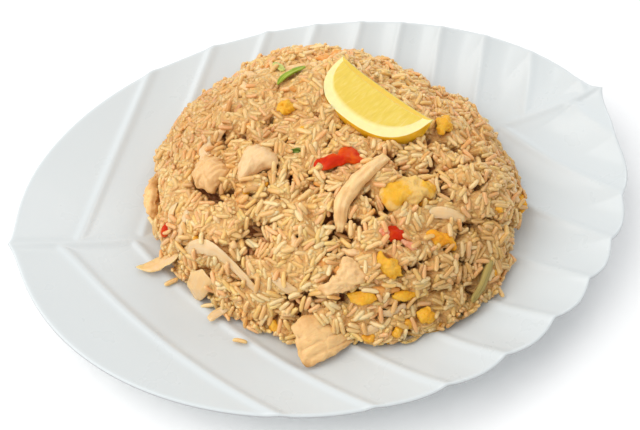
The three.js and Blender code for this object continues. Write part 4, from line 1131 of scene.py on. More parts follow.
def lemon_rings(settings):
    """Wedge of a lemon: the section is a sector with its core cut off, drawn as a closed
    path over the upper cut face, the rind, the lower cut face and the core's cut. It is
    carried from end to end while its reach follows a rounded power curve. Also returns the
    share of the way from the ridge to the flesh's edge, and coordinates on the cut face."""
    radius = settings.lemon_radius / MM
    along = unit(LEMON_TIP - LEMON_STALK)
    level = unit(np.cross(along, UP))
    up = np.cross(level, along)

    def turned(degrees):
        angle = np.radians(LEMON_FACE_DIP + degrees)
        return np.cos(angle)[..., None] * level - np.sin(angle)[..., None] * up

    step = np.linspace(0.02, 0.98, 110)
    share = -np.cos(step * np.pi)
    bulge = np.maximum(0, 1 - np.abs(share) ** LEMON_SQUARENESS) ** (1 / LEMON_SQUARENESS)
    centre = LEMON_STALK + (LEMON_TIP - LEMON_STALK) * ((share + 1) / 2)[:, None]
    core, drop = LEMON_CORE_WIDTH, LEMON_CORE_DROP
    edge = 0.015
    upper_r = np.concatenate([[core, core + edge], np.linspace(core + 0.05, 0.96, 24), [1 - edge, 1.0]])
    rind_a = np.concatenate([[0.8], np.linspace(2.5, LEMON_OPENING - 2.5, 16), [LEMON_OPENING - 0.8]])
    lower_r = np.concatenate([[1.0, 1 - edge], np.linspace(0.96, drop + 0.05, 18), [drop]])
    core_share = np.linspace(0.1, 0.9, 5)
    radial = np.concatenate([upper_r, np.ones(len(rind_a)), lower_r])
    angle = np.concatenate([np.zeros(len(upper_r)), rind_a, np.full(len(lower_r), LEMON_OPENING)])
    section_x = radial * np.cos(np.radians(angle))
    section_y = radial * np.sin(np.radians(angle))
    last_x, last_y = section_x[-1], section_y[-1]
    section_x = np.concatenate([section_x, last_x + (core - last_x) * core_share])
    section_y = np.concatenate([section_y, last_y * (1 - core_share)])
    counts = [len(part) for part in (upper_r, rind_a, lower_r, core_share)]
    zone = np.repeat([0.0, 1.0, 0.0, -1.0], counts)
    x_axis, y_axis = turned(np.array(0.0)), turned(np.array(90.0))
    reach = (radius * bulge)[:, None]
    rings = (
        centre[:, None]
        + (reach * section_x[None])[..., None] * x_axis
        + (reach * section_y[None])[..., None] * y_axis
    )
    distance = np.hypot(section_x, section_y)[None] * reach
    wide, long = LEMON_FLESH_REACH
    power = LEMON_FLESH_SQUARENESS
    away = np.abs((share + LEMON_FLESH_SHIFT) / long) ** power
    flesh = wide * radius * np.maximum(0, 1 - away) ** (1 / power)
    flesh_share = distance / np.maximum(flesh, 0.4)[:, None]
    length = np.linalg.norm(LEMON_TIP - LEMON_STALK)
    side = np.radians(np.concatenate([angle, np.full(len(core_share), 20.0)])) * 10
    face = np.stack(np.broadcast_arrays((share * length / 2)[:, None], distance, side[None]), -1)
    zones = np.broadcast_to(zone[None], distance.shape)
    return rings, flesh_share, zones.copy(), face


# Grains

GRAIN_ALONG = np.array([-0.47, -0.39, -0.22, 0.02, 0.25, 0.40, 0.47])
GRAIN_THICK = np.array([0.52, 0.84, 1.0, 1.0, 0.98, 0.80, 0.48])
GRAIN_SIDES = 6
GRAIN_FLATNESS = 0.86  # height of a grain's section as a share of its width
GRAIN_PRESS = 0.44  # share of their widths that two grains keep apart
GRAIN_SEAT = 0.42  # height of a grain's axis over the dish, as a share of its width
GRAIN_LENGTHS = (0.72, 1.18)  # shortest and longest on the heap, as shares of the mean
GRAIN_WIDTHS = (0.88, 1.12)  # thinnest and thickest, as shares of the mean
TRIES = 4  # random places of which a grain takes the lowest
TRIES_IN_ALL = 1.6  # most tries, as a share of the number of grains
DARING_SHARE = 0.4  # share of the grains that may lean on a topping
LEMON_CLEARANCE = 34.0  # no grain that is nearer to the lemon's middle line leans on a topping
TURN_SPREAD = 0.65  # how far neighbouring grains turn from each other, in radians
MOST_TIP = 0.42  # slope of the steepest grain against the heap
GRAINS_PER_SPILLED = 22  # grains on the heap for each one that is tried on the dish
SPILL_LENGTHS = (0.72, 1.15)
SPILL_REACH = 1.9  # how far from the heap's foot the grains on the dish lie
SPILL_RISE = 2.6  # no spilled grain lies higher on others


def grain_vertices(centres, axes, ups, lengths, widths, bends):
    """All grains at once: a six-sided section carried along each grain's axis, thick in the
    middle and blunt at the ends, bent to one side by the square of the distance from its
    middle, with a point at either end."""
    angle = np.linspace(0, TURN, GRAIN_SIDES, endpoint=False)
    along = np.repeat(GRAIN_ALONG, GRAIN_SIDES)
    across = np.outer(GRAIN_THICK, np.cos(angle)).ravel() / 2
    rise = np.outer(GRAIN_THICK, np.sin(angle)).ravel() * GRAIN_FLATNESS / 2
    along = np.concatenate([along, [-0.5, 0.5]])
    across = np.concatenate([across, [0, 0]])
    rise = np.concatenate([rise, [0, 0]])
    sides = np.cross(ups, axes)
    x = along[None] * lengths[:, None]
    y = across[None] * widths[:, None]
    z = rise[None] * widths[:, None] - bends[:, None] * (4 * along**2 - 0.4)[None]
    return (
        centres[:, None]
        + x[..., None] * axes[:, None]
        + y[..., None] * sides[:, None]
        + z[..., None] * ups[:, None]
    )


def grain_faces(number):
    """The faces of one grain, repeated with the vertex numbers moved on."""
    rows, size = len(GRAIN_ALONG), len(GRAIN_ALONG) * GRAIN_SIDES + 2
    one = [face[::-1] for face in ring_faces(rows, GRAIN_SIDES)]
    quads = np.array([face for face in one if len(face) == 4])
    fans = np.array([face for face in one if len(face) == 3])
    starts = (np.arange(number) * size)[:, None, None]
    return (quads[None] + starts).reshape(-1, 4).tolist() + (fans[None] + starts).reshape(-1, 3).tolist()


class GrainPile:
    """Grains dropped one after another on the heap. Each is five balls in a row, moved out
    of the heap until they touch what is there, and tipped to lean on it."""

    OFFSETS = np.array([-0.38, -0.19, 0.0, 0.19, 0.38])
    END_SPAN = 0.57  # between the middles of the first two balls and of the last two
    CELL = 6.0
    AHEAD = 1.5  # how far out of its start the neighbours of a grain are looked for
    LEAN_SHARE = 0.8
    MOST_LEAN = 0.55
    MOST_LEAN_ON_TOPPING = 0.7
    MOST_RISE_ON_TOPPING = 4.5
    SINK = 0.55  # share of its radius by which a ball stands over a topping's face
    LOOK_FROM = 18.0  # height over a ball from which a topping is looked for
    LOOK_DOWN = 21.0
    BESIDE = -99.0  # rise of a ball that has no topping under it

    def __init__(self, cover):
        self.cover = cover
        self.balls = np.zeros((0, 4))
        self.room = 0
        self.cells = {}
        self.grains = []

    def row(self, centre, axis, length):
        """Middles of a grain's balls."""
        return centre + axis * self.OFFSETS[:, None] * length

    def lean(self, rises, length, most, share=1.0):
        """Share of the slope from the higher of the first two balls to that of the last two."""
        slope = (rises[3:].max() - rises[:2].max()) / (self.END_SPAN * length)
        return max(-most, min(most, slope * share))

    def near(self, point):
        """Balls in the cells round a point."""
        x, y, z = (int(math.floor(value / self.CELL)) for value in point)
        found = []
        for i in (x - 1, x, x + 1):
            for j in (y - 1, y, y + 1):
                for k in (z - 1, z, z + 1):
                    found += self.cells.get((i, j, k), ())
        return self.balls[found]

    def rise(self, balls, radius, out, others):
        """How far each ball has to move out to clear the others: the later crossing of its
        path with a ball of the summed radii round each of them."""
        if len(others) == 0:
            return np.zeros(len(balls))
        gap = balls[:, None] - others[None, :, :3]
        reach = GRAIN_PRESS * (radius + others[None, :, 3])
        ahead = gap @ out
        inside = reach**2 - np.einsum("ijk,ijk->ij", gap, gap) + ahead**2
        crossing = np.where(inside > 0, -ahead + np.sqrt(np.maximum(inside, 0)), 0)
        return np.maximum(crossing.max(axis=1), 0)

    def settle(self, start, axis, out, length, radius):
        """Centre, axis and rise of a grain that comes to rest on the pile."""
        others = self.near(start + out * self.AHEAD)
        offsets = self.OFFSETS[:, None] * length
        rises = self.rise(start + axis * offsets, radius, out, others)
        leaning = unit(axis + out * self.lean(rises, length, self.MOST_LEAN, self.LEAN_SHARE))
        rises = self.rise(start + leaning * offsets, radius, out, others)
        return start + out * rises.max(), leaning, float(rises.max())

    def cover_rises(self, balls, radius, out):
        """How far each ball has to move out to lie on a topping, or far less beside one."""
        rises = np.full(len(balls), self.BESIDE)
        for index, ball in enumerate(balls):
            start = Vector(ball + out * self.LOOK_FROM)
            place = self.cover.ray_cast(start, Vector(-out), self.LOOK_DOWN)[0]
            if place is not None:
                rises[index] = float((np.array(place) - ball) @ out) + radius * self.SINK
        return rises

    def lean_on_cover(self, centre, axis, out, length, radius, daring):
        """The grain as it is if no topping is in its way, tipped on the edge of a topping if
        that is low and only part of the grain meets it, or else None."""
        rises = self.cover_rises(self.row(centre, axis, length), radius, out)
        met = rises > 0
        if not met.any():
            return centre, axis
        too_high = rises.max() > self.MOST_RISE_ON_TOPPING
        if not daring or met.sum() > 3 or too_high or met[2] and met.sum() > 2:
            return None
        rises = np.maximum(rises, 0)
        leaning = unit(axis + out * self.lean(rises, length, self.MOST_LEAN_ON_TOPPING))
        more = self.cover_rises(self.row(centre, leaning, length), radius, out).max()
        return centre + out * max(0.0, more), leaning

    def add(self, centre, axis, out, length, width, lift, bearing, tilt):
        """Keeps a grain and its balls."""
        radius = width / 2
        if self.room + len(self.OFFSETS) > len(self.balls):
            self.balls = np.concatenate([self.balls, np.zeros((4096, 4))])
        for ball in self.row(centre, axis, length):
            self.balls[self.room, :3] = ball
            self.balls[self.room, 3] = radius
            key = tuple(int(math.floor(value / self.CELL)) for value in ball)
            self.cells.setdefault(key, []).append(self.room)
            self.room += 1
        self.grains.append((centre, axis, out, length, width, lift, bearing, tilt))


def lemon_distance(point):
    """How far a point is from the lemon's middle line."""
    line = LEMON_TIP - LEMON_STALK
    place = min(1.0, max(0.0, float((point - LEMON_STALK) @ line / (line @ line))))
    return float(np.linalg.norm(point - LEMON_STALK - place * line))


def drop_grains(cover, dish, rice, number, random):
    """Grains over the whole heap. Each takes the lowest of a few random places, so that
    hollows fill first, and one that would reach into a topping leans on it or is left out."""
    pile = GrainPile(cover)
    bearing_steps, tilt_steps = 240, 90
    bearing = (np.arange(bearing_steps) + 0.5) / bearing_steps * TURN
    tilt = (np.arange(tilt_steps) + 0.5) / tilt_steps * LAST_TILT
    bearings, tilts = np.meshgrid(bearing, tilt)
    points = heap_point(bearings, tilts)
    step_b = np.roll(points, -1, axis=1) - points
    step_t = np.gradient(points, axis=0)
    area = np.linalg.norm(np.cross(step_b, step_t), axis=-1)
    area[points[..., 2] < ground_under(points, dish) + 0.8] = 0
    lifts = clump_lift(bearings, tilts)
    combed = 1.6 * math.pi * cell_noise(points, 10.0, SEED + 60)
    area *= (1 - 0.8 * pit_share(bearings, tilts)) * (1 + 0.08 * np.maximum(lifts, 0))
    chance = np.cumsum(area.ravel())
    chance /= chance[-1]
    mean_length, mean_width = rice.grain_length / MM, rice.grain_width / MM
    top = (FLOOR_HEIGHT + HEAP_RISE) * 1.2
    for _ in range(int(number * TRIES_IN_ALL)):
        if len(pile.grains) >= number:
            break
        length = mean_length * random.uniform(*GRAIN_LENGTHS)
        width = mean_width * random.uniform(*GRAIN_WIDTHS)
        best = None
        for _ in range(TRIES):
            pick = int(np.searchsorted(chance, random.random()))
            b = bearings.flat[pick] + random.uniform(-0.5, 0.5) * TURN / bearing_steps
            t = tilts.flat[pick] + random.uniform(-0.5, 0.5) * LAST_TILT / tilt_steps
            out = outward(np.float64(b), np.float64(t))
            start = heap_point(b, t, lifts.flat[pick] - GRAIN_START)
            turn = combed.flat[pick] + random.normal(0, TURN_SPREAD)
            side = unit(np.cross(out, np.array([0.31, 0.52, 0.79])))
            axis = side * math.cos(turn) + np.cross(out, side) * math.sin(turn)
            axis = unit(axis + out * random.uniform(-MOST_TIP, MOST_TIP))
            centre, leaning, rise = pile.settle(start, axis, out, length, width / 2)
            if best is None or rise < best[3]:
                best = (centre, leaning, out, rise, b, t)
        centre, leaning, out, rise, b, t = best
        if rise > GRAIN_RISE:
            continue
        ground = rest_height(centre[0], centre[1], dish) + width * GRAIN_SEAT
        low = float(pile.row(centre, leaning, length)[:, 2].min())
        if low < ground:
            centre = centre + np.array([0, 0, ground - low])
        daring = random.random() < DARING_SHARE and lemon_distance(centre) > LEMON_CLEARANCE
        placed = pile.lean_on_cover(centre, leaning, out, length, width / 2, daring)
        if centre[2] > top or placed is None:
            continue
        pile.add(*placed, out, length, width, rise, b, t)
    spill_grains(pile, heap_point(bearings, tilts, lifts), dish, rice, number // GRAINS_PER_SPILLED, random)
    return pile.grains, pile.balls[: pile.room]


def spill_grains(pile, points, dish, rice, number, random):
    """Grains that lie on the dish round the heap's foot, in groups by a noise."""
    high = points[..., 2] > ground_under(points, dish) + 0.6
    foot = points[high.cumsum(axis=0).argmax(axis=0), np.arange(points.shape[1])]
    away = unit((foot - HEAP_MIDDLE) * np.array([1, 1, 0]))
    for _ in range(number):
        column = random.integers(len(foot))
        if cell_noise(foot[column], 12.0, SEED + 70) < random.uniform(-0.5, 0.6):
            continue
        length = rice.grain_length / MM * random.uniform(*SPILL_LENGTHS)
        width = rice.grain_width / MM * random.uniform(*GRAIN_WIDTHS)
        start = foot[column] + away[column] * (abs(random.normal(0, SPILL_REACH)) - 0.8)
        start[2] = float(rest_height(start[0], start[1], dish)) + width * GRAIN_SEAT
        turn = random.uniform(0, TURN)
        axis = unit(np.array([math.cos(turn), math.sin(turn), 0.0]))
        slope = rest_height(*(start + axis)[:2], dish) - rest_height(*(start - axis)[:2], dish)
        axis = unit(axis + UP * float(slope) / 2)
        centre, leaning, rise = pile.settle(start, axis, UP, length, width / 2)
        placed = pile.lean_on_cover(centre, leaning, UP, length, width / 2, False)
        if rise < SPILL_RISE and placed is not None:
            pile.add(*placed, UP, length, width, rise, 0.0, 0.0)


# Materials


class Paint:
    """A node material under construction. The methods that add a node return its socket,
    and those that set the shader return the paint."""

    def __init__(self, name):
        old = bpy.data.materials.get(name)
        if old is not None:
            bpy.data.materials.remove(old)
        self.material = bpy.data.materials.new(name)
        self.material.use_nodes = True
        self.tree = self.material.node_tree
        self.shader = self.tree.nodes["Principled BSDF"]
        self.where = self.tree.nodes.new("ShaderNodeTexCoord").outputs["Object"]

    def fill(self, socket, value):
        """Links a socket to the value if that is a socket too, or else sets it."""
        if isinstance(value, bpy.types.NodeSocket):
            self.tree.links.new(value, socket)
        else:
            socket.default_value = value
        return self

    def node(self, kind, **inputs):
        """A node with its named inputs filled."""
        made = self.tree.nodes.new("ShaderNode" + kind)
        for key, value in inputs.items():
            self.fill(made.inputs[key], value)
        return made

    def set(self, **values):
        for key, value in values.items():
            self.shader.inputs[key.replace("_", " ")].default_value = value
        return self

    def attribute(self, name, output="Fac"):
        node = self.node("Attribute")
        node.attribute_name = name
        return node.outputs[output]

    def stretch(self, vector, scale):
        return self.node("Mapping", Scale=scale, Vector=vector).outputs["Vector"]

    def noise(self, scale, detail=3.0, roughness=0.55, vector=None, distortion=0.0, output="Fac"):
        vector = vector or self.where
        inputs = {"Scale": scale, "Detail": detail, "Roughness": roughness, "Distortion": distortion}
        return self.node("TexNoise", Vector=vector, **inputs).outputs[output]

    def drawn(self, name, scale, detail, roughness, distortion=0.0):
        """Noise on an attribute's coordinates, drawn out by a scale for each."""
        stretched = self.stretch(self.attribute(name, "Vector"), scale)
        return self.noise(1.0, detail, roughness, stretched, distortion)

    def cells(self, scale, vector=None):
        return self.node("TexVoronoi", Scale=scale, Vector=vector or self.where).outputs["Distance"]

    def ramp(self, source, *stops):
        node = self.node("ValToRGB", Fac=source)
        marks = node.color_ramp.elements
        while len(marks) < len(stops):
            marks.new(0.5)
        for mark, (position, colour) in zip(marks, stops):
            mark.position = position
            if np.isscalar(colour):
                colour = (colour,) * 3
            mark.color = (*colour[:3], 1)
        return node.outputs["Color"]

    def mix(self, share, first, second, blend="MIX"):
        node = self.node("Mix")
        node.data_type = "RGBA"
        node.blend_type = blend
        for value, socket in ((share, node.inputs[0]), (first, node.inputs[6]), (second, node.inputs[7])):
            self.fill(socket, (*value[:3], 1) if isinstance(value, tuple) else value)
        return node.outputs[2]

    def math(self, operation, first, second):
        node = self.node("Math")
        node.operation = operation
        for value, socket in zip((first, second), node.inputs):
            self.fill(socket, value)
        return node.outputs[0]

    def colour(self, socket):
        return self.fill(self.shader.inputs["Base Color"], socket)

    def roughness(self, socket):
        return self.fill(self.shader.inputs["Roughness"], socket)

    def bump(self, height, strength, distance):
        node = self.node("Bump", Strength=strength, Distance=distance, Height=height)
        return self.fill(self.shader.inputs["Normal"], node.outputs["Normal"])

    def soft(self, weight, radius, scale):
        """Light that enters the surface and leaves it near by."""
        self.shader.subsurface_method = "RANDOM_WALK"
        return self.set(Subsurface_Weight=weight, Subsurface_Radius=radius, Subsurface_Scale=scale)


def shade(colour, factor):
    """The colour, lighter or darker, by one factor or one for each channel."""
    factors = (factor,) * 3 if np.isscalar(factor) else factor
    return tuple(min(1.0, channel * own) for channel, own in zip(tuple(colour)[:3], factors))


def colours(settings, *names):
    """The colours that the settings hold under these names."""
    return [tuple(getattr(settings, name)) for name in names]


def blend(first, second, share):
    """A colour between two."""
    return tuple(a + (b - a) * share for a, b in zip(tuple(first)[:3], tuple(second)[:3]))


def porcelain_paint(settings):
    """White glaze: glossy, with a very slow waviness, and painted shade in grey round the outside of the
    lip.
    """
    paint = Paint("white_porcelain")
    cloud = paint.noise(14, 2, 0.5)
    tone = tuple(settings.porcelain)
    glaze = paint.ramp(cloud, (0.3, shade(tone, 0.985)), (0.7, tone))
    # painted shade: grey round the outside of the lip
    thin = paint.ramp(paint.attribute("lip"), (0.2, 0.0), (0.9, 1.0))
    paint.colour(paint.mix(thin, glaze, tuple(settings.porcelain_lip_shade)))
    paint.roughness(paint.ramp(paint.noise(60, 3), (0.3, 0.26), (0.75, 0.34)))
    paint.set(IOR=1.5, Coat_Weight=0.08, Coat_Roughness=0.07)
    paint.bump(paint.noise(28, 2, 0.5), 0.12, 0.0006)
    return paint.material


def grain_paint(settings, name, factor):
    """Cooked, fried rice: translucent, tan to golden by each grain's own tone, which also
    carries painted shade, with paler ends, faint mottling, a film of oil, and painted shade
    multiplied in where its share is high."""
    paint = Paint(name)
    tone = paint.attribute("tone")
    dark, mid, light = colours(settings, "rice_dark", "rice_mid", "rice_light")
    base = paint.ramp(
        tone,
        (0.0, shade(dark, factor)), (0.35, shade(blend(dark, mid, 0.7), factor)),
        (0.62, shade(mid, factor)), (1.0, shade(light, factor)),
    )
    stain = paint.math("MULTIPLY", paint.attribute("stain"), 0.55)
    fried = paint.mix(stain, base, tuple(settings.rice_fried))
    mottle = paint.noise(420, 3, 0.6)
    tinted = paint.mix(paint.ramp(mottle, (0.42, 0.0), (0.72, 0.3)), fried, shade(dark, 1.15))
    ends = paint.ramp(paint.attribute("ends"), (0.5, 0.0), (1.0, 0.3))
    tipped = paint.mix(ends, tinted, shade(light, 1.03))
    # painted shade: the grains' colour is multiplied down where the painted shade share is high
    paint.colour(paint.mix(paint.attribute("dim"), tipped, PAINTED_SHADE_COLOUR, "MULTIPLY"))
    paint.roughness(paint.ramp(paint.noise(260, 2), (0.3, 0.28), (0.75, 0.5)))
    paint.set(IOR=1.42, Specular_IOR_Level=0.5, Coat_Weight=0.45, Coat_Roughness=0.2)
    paint.soft(0.65, (1.0, 0.85, 0.7), 0.0015)
    paint.bump(paint.noise(900, 2, 0.6), 0.25, 0.0002)
    return paint.material


def core_paint(settings):
    """The rice between the outer grains: cells as long as grains, pale in their middles and
    darker between them as painted shade, brown in pits as painted shade, darkened in places
    by painted shade, and matt."""
    paint = Paint("inner_rice")
    dark, mid = tuple(settings.rice_dark), blend(settings.rice_mid, settings.rice_fried, 0.35)
    bent = paint.mix(0.014, paint.where, paint.noise(160, 2, 0.5, output="Color"))
    spots = paint.cells(1.0, paint.stretch(bent, (190.0, 330.0, 300.0)))
    # painted shade: darker towards the borders of the grain-sized cells, where shade falls between grains
    base = paint.ramp(
        spots, (0.12, blend(mid, settings.rice_light, 0.45)), (0.36, mid), (0.55, blend(mid, dark, 0.35)),
        (0.8, blend(mid, dark, 0.75)),
    )
    # painted shade: brown where the core lies deep in a pit or hollow
    pit = paint.ramp(paint.attribute("pit"), (0.3, 0.0), (0.9, 0.9))
    # painted shade: the core's colour is multiplied down where the painted shade share is high
    shade_dimmed = paint.mix(paint.attribute("dim"), base, PAINTED_SHADE_COLOUR, "MULTIPLY")
    paint.colour(paint.mix(pit, shade_dimmed, tuple(settings.rice_pit)))
    paint.set(Roughness=0.5, IOR=1.4)
    paint.soft(0.65, (1.0, 0.85, 0.7), 0.0015)
    paint.bump(paint.ramp(spots, (0.1, 1.0), (0.8, 0.0)), 0.8, 0.0012)
    return paint.material


def chicken_paint(settings, name, brown, grain, tint):
    """Cooked chicken: cream meat with fibres along its flow, tan stains, browned edges, and on a shaded
    piece painted shade down one side.
    """
    paint = Paint(name)
    fibres = paint.drawn("flow", (grain * 0.8, 0.9, 0.9), 4, 0.6, 0.8)
    cream, tan = shade(settings.chicken_cream, tint), tuple(settings.chicken_brown)
    base = paint.ramp(fibres, (0.3, blend(cream, tan, 0.4)), (0.46, blend(cream, tan, 0.08)), (0.7, cream))
    patches = paint.noise(70, 3, 0.6)
    low = 0.62 - 0.3 * brown
    stained = paint.mix(paint.ramp(patches, (low, 0.0), (low + 0.2, 0.8)), base, tan)
    edge = paint.ramp(paint.attribute("edge"), (0.5, 0.0), (1.0, min(1.0, 0.2 + brown)))
    rimmed = paint.mix(edge, stained, shade(tan, 0.85))
    burnt = paint.ramp(paint.math("MULTIPLY", paint.attribute("edge"), 0.33), (0.4, 0.0), (0.9, 0.9))
    paint.colour(paint.mix(burnt, rimmed, shade(tan, 0.7)))
    paint.roughness(paint.ramp(patches, (0.35, 0.32), (0.7, 0.5)))
    paint.set(IOR=1.42, Coat_Weight=0.15, Coat_Roughness=0.25)
    return paint.soft(0.4, (1.0, 0.75, 0.5), 0.002).bump(fibres, 0.45, 0.0006).material


def egg_paint(settings, name, warm, border):
    """Scrambled egg: yellow, orange where it is richer, with pores, and a border of pale
    egg white or of a browned skin."""
    paint = Paint(name)
    yellow, orange, pale = colours(settings, "egg_yellow", "egg_orange", "egg_pale")
    patches = paint.noise(190, 3, 0.65)
    base = paint.ramp(
        patches, (0.32, blend(yellow, orange, 0.25 + 0.75 * warm)), (0.5, blend(yellow, orange, 0.5 * warm)),
        (0.7, blend(yellow, pale, 0.45 * (1 - warm))),
    )
    rim = paint.math("ADD", paint.attribute("edge"), paint.math("MULTIPLY", patches, 0.7))
    if border > 0:
        base = paint.mix(paint.ramp(rim, (0.86, 0.0), (1.0, 0.9)), base, pale)
    elif border < 0:
        base = paint.mix(paint.ramp(rim, (1.15, 0.0), (1.3, 0.8)), base, shade(orange, 0.7))
    pores = paint.cells(900)
    paint.colour(paint.mix(paint.ramp(pores, (0.0, 0.3), (0.35, 0.0)), base, shade(orange, 0.8)))
    paint.set(Roughness=0.36, IOR=1.4, Specular_IOR_Level=0.25, Coat_Weight=0.06, Coat_Roughness=0.2)
    return paint.soft(0.4, (1.0, 0.7, 0.3), 0.002).bump(pores, 0.4, 0.0004).material


def tomato_paint(settings):
    """Tomato: wet red skin and flesh, orange where it is thin."""
    paint = Paint("tomato_flesh")
    red, orange = tuple(settings.tomato_red), tuple(settings.tomato_orange)
    patches = paint.noise(110, 3, 0.6)
    paint.colour(paint.ramp(patches, (0.36, orange), (0.56, red), (0.8, shade(red, 0.6))))
    paint.set(Roughness=0.35, IOR=1.4, Specular_IOR_Level=0.15, Coat_Weight=0.04, Coat_Roughness=0.12)
    return paint.soft(0.2, (1.0, 0.25, 0.08), 0.002).bump(paint.noise(300, 3), 0.3, 0.0006).material


def onion_paint(settings, name, golden):
    """Fried onion: clear cream with fine veins along it, and golden stains."""
    paint = Paint(name)
    veins = paint.drawn("flow", (0.05, 1.5, 0.6), 3, 0.5, 0.2)
    cream, stain = tuple(settings.onion), tuple(settings.onion_golden)
    edge, middle = blend(cream, stain, 0.3 + 0.6 * golden), blend(cream, stain, golden)
    base = paint.ramp(veins, (0.35, edge), (0.5, middle), (0.7, cream))
    low = 0.55 - 0.3 * golden
    paint.colour(paint.mix(paint.ramp(paint.noise(80), (low, 0.0), (low + 0.25, 0.7)), base, stain))
    paint.set(Roughness=0.2, IOR=1.4, Coat_Weight=0.35, Coat_Roughness=0.1)
    return paint.soft(0.6, (1.0, 0.85, 0.65), 0.003).bump(veins, 0.3, 0.0004).material


def crumb_paint(settings, name):
    """Small bits: the colours of egg, of what stuck to the pan, of pale meat, or of tomato."""
    paint = Paint(name)
    first, second = {
        "egg_crumbs": (settings.egg_yellow, settings.egg_orange),
        "fried_crumbs": (settings.rice_fried, settings.chicken_brown),
        "pale_crumbs": (settings.chicken_cream, settings.onion),
        "pink_crumbs": (settings.tomato_pink, settings.tomato_orange),
    }[name]
    patches = paint.noise(260, 3, 0.6)
    paint.colour(paint.ramp(patches, (0.35, tuple(first)), (0.68, blend(first, second, 0.65))))
    paint.set(Roughness=0.38, IOR=1.42, Coat_Weight=0.15, Coat_Roughness=0.25)
    return paint.soft(0.4, (1.0, 0.75, 0.5), 0.0015).bump(paint.noise(600, 3), 0.3, 0.0004).material


def greens_paint(settings, name, pale, tint):
    """Green stalk or leaf: fresh green, paler along its ribs."""
    paint = Paint(name)
    ribs = paint.drawn("flow", (0.06, 1.6, 1.6), 3, 0.5)
    fresh, light = shade(settings.greens_fresh, tint), shade(settings.greens_pale, tint)
    middle = blend(fresh, light, max(0.0, pale)) if pale >= 0 else shade(fresh, 1 + pale)
    upper = blend(middle, light, 0.5)
    paint.colour(paint.ramp(ribs, (0.32, shade(middle, 0.55)), (0.5, middle), (0.7, upper)))
    paint.set(Roughness=0.35, IOR=1.4, Specular_IOR_Level=0.2, Coat_Weight=0.04, Coat_Roughness=0.15)
    return paint.soft(0.25, (1.0, 1.0, 0.4), 0.0015).bump(ribs, 0.35, 0.0004).material


def lemon_paint(settings):
    """Cut lemon: flesh of long juice cells that point from the ridge to the rind, a pale
    pith, a dimpled rind, and the cut of the core painted darker as painted shade."""
    paint = Paint("cut_lemon")
    sacs = paint.drawn("face", (0.62, 0.13, 0.5), 3, 0.6, 0.8)
    drops = paint.cells(1.0, paint.stretch(paint.attribute("face", "Vector"), (0.7, 0.2, 0.6)))
    flesh, pith, rind = colours(settings, "lemon_flesh", "lemon_pith", "lemon_rind")
    pulp = paint.ramp(sacs, (0.3, shade(flesh, 0.94)), (0.5, flesh), (0.75, blend(flesh, pith, 0.28)))
    pulp = paint.mix(paint.ramp(drops, (0.0, 0.12), (0.5, 0.0)), pulp, shade(pith, 1.02))
    waved = paint.math("ADD", paint.attribute("flesh"), paint.math("MULTIPLY", paint.noise(240, 2), 0.035))
    border = paint.ramp(waved, (0.90, 0.0), (1.08, 1.0))
    cut = paint.mix(border, pulp, paint.ramp(paint.noise(300, 2), (0.3, shade(pith, 0.93)), (0.7, pith)))
    zone = paint.attribute("zone")
    # painted shade: the cut of the core, a strip that tilts away from the light, is painted darker
    core = paint.ramp(paint.math("MULTIPLY", zone, -1.0), (0.3, 0.0), (0.7, 1.0))
    cored = paint.mix(core, cut, blend(flesh, rind, 0.6))
    skin = paint.ramp(paint.noise(120, 3), (0.35, shade(rind, 0.82)), (0.65, rind))
    paint.colour(paint.mix(paint.ramp(zone, (0.35, 0.0), (0.6, 1.0)), cored, skin))
    paint.set(Roughness=0.26, IOR=1.38, Coat_Weight=0.3, Coat_Roughness=0.1)
    paint.soft(0.45, (1.0, 0.8, 0.25), 0.005)
    height = paint.mix(paint.ramp(zone, (0.35, 0.0), (0.6, 1.0)), sacs, paint.cells(520))
    paint.bump(height, 0.22, 0.0005)
    return paint.material


def floor_paint(settings):
    """Plain pale floor."""
    paint = Paint("pale_floor")
    tone = tuple(settings.floor_colour)
    paint.colour(paint.ramp(paint.noise(6, 2), (0.3, shade(tone, 0.99)), (0.7, tone)))
    paint.set(Roughness=0.75)
    return paint.material


# Settings


def length_setting(name, description, default):
    """A size in metres."""
    return FloatProperty(
        name=name, description=description, default=default, min=0.0, unit="LENGTH", subtype="DISTANCE",
    )


def colour_setting(name, description, default):
    """A colour in linear light."""
    return FloatVectorProperty(
        name=name, description=description, default=default, size=3, min=0.0, max=1.0, subtype="COLOR",
    )


def power_setting(name, description, default):
    """Power of a lamp in watts."""
    return FloatProperty(name=name, description=description, default=default, unit="POWER")


class DishSettings(bpy.types.PropertyGroup):
    """Sizes and colour of the dish."""

    half_length: length_setting("Half length", "Half the leaf's length without its tips", 0.147)
    half_width: length_setting("Half width", "Half the leaf's width", 0.1135)
    rib_rise: length_setting("Rib rise", "Height of the ribs over the panels", 0.0011)
    porcelain: colour_setting("Porcelain", "Colour of the glaze", (0.66, 0.695, 0.70))
    # painted shade: the grey of the lip's outside
    porcelain_lip_shade: colour_setting("Lip", "Colour of the painted shade round the outside of the lip", (0.42, 0.42, 0.43))


class RiceSettings(bpy.types.PropertyGroup):
    """Sizes, number and colours of the rice."""

    grain_length: length_setting("Grain length", "Mean length of a grain", 0.0070)
    grain_width: length_setting("Grain width", "Mean width of a grain", 0.00245)
    grain_number: IntProperty(name="Grains", description="Most grains that are laid", default=10300, min=10)
    # painted shade: the colour of the core deep in pits and hollows
    rice_pit: colour_setting("Pits", "Colour at the bottom of pits", (0.27, 0.09, 0.03))
    rice_dark: colour_setting("Dark rice", "Colour of the darkest grains", (0.63, 0.325, 0.11))
    rice_mid: colour_setting("Rice", "Colour of most grains", (0.835, 0.55, 0.214))
    rice_light: colour_setting("Light rice", "Colour of the palest grains", (0.88, 0.685, 0.36))
    rice_fried: colour_setting("Fried rice", "Colour of patches stained in the pan", (0.86, 0.41, 0.10))


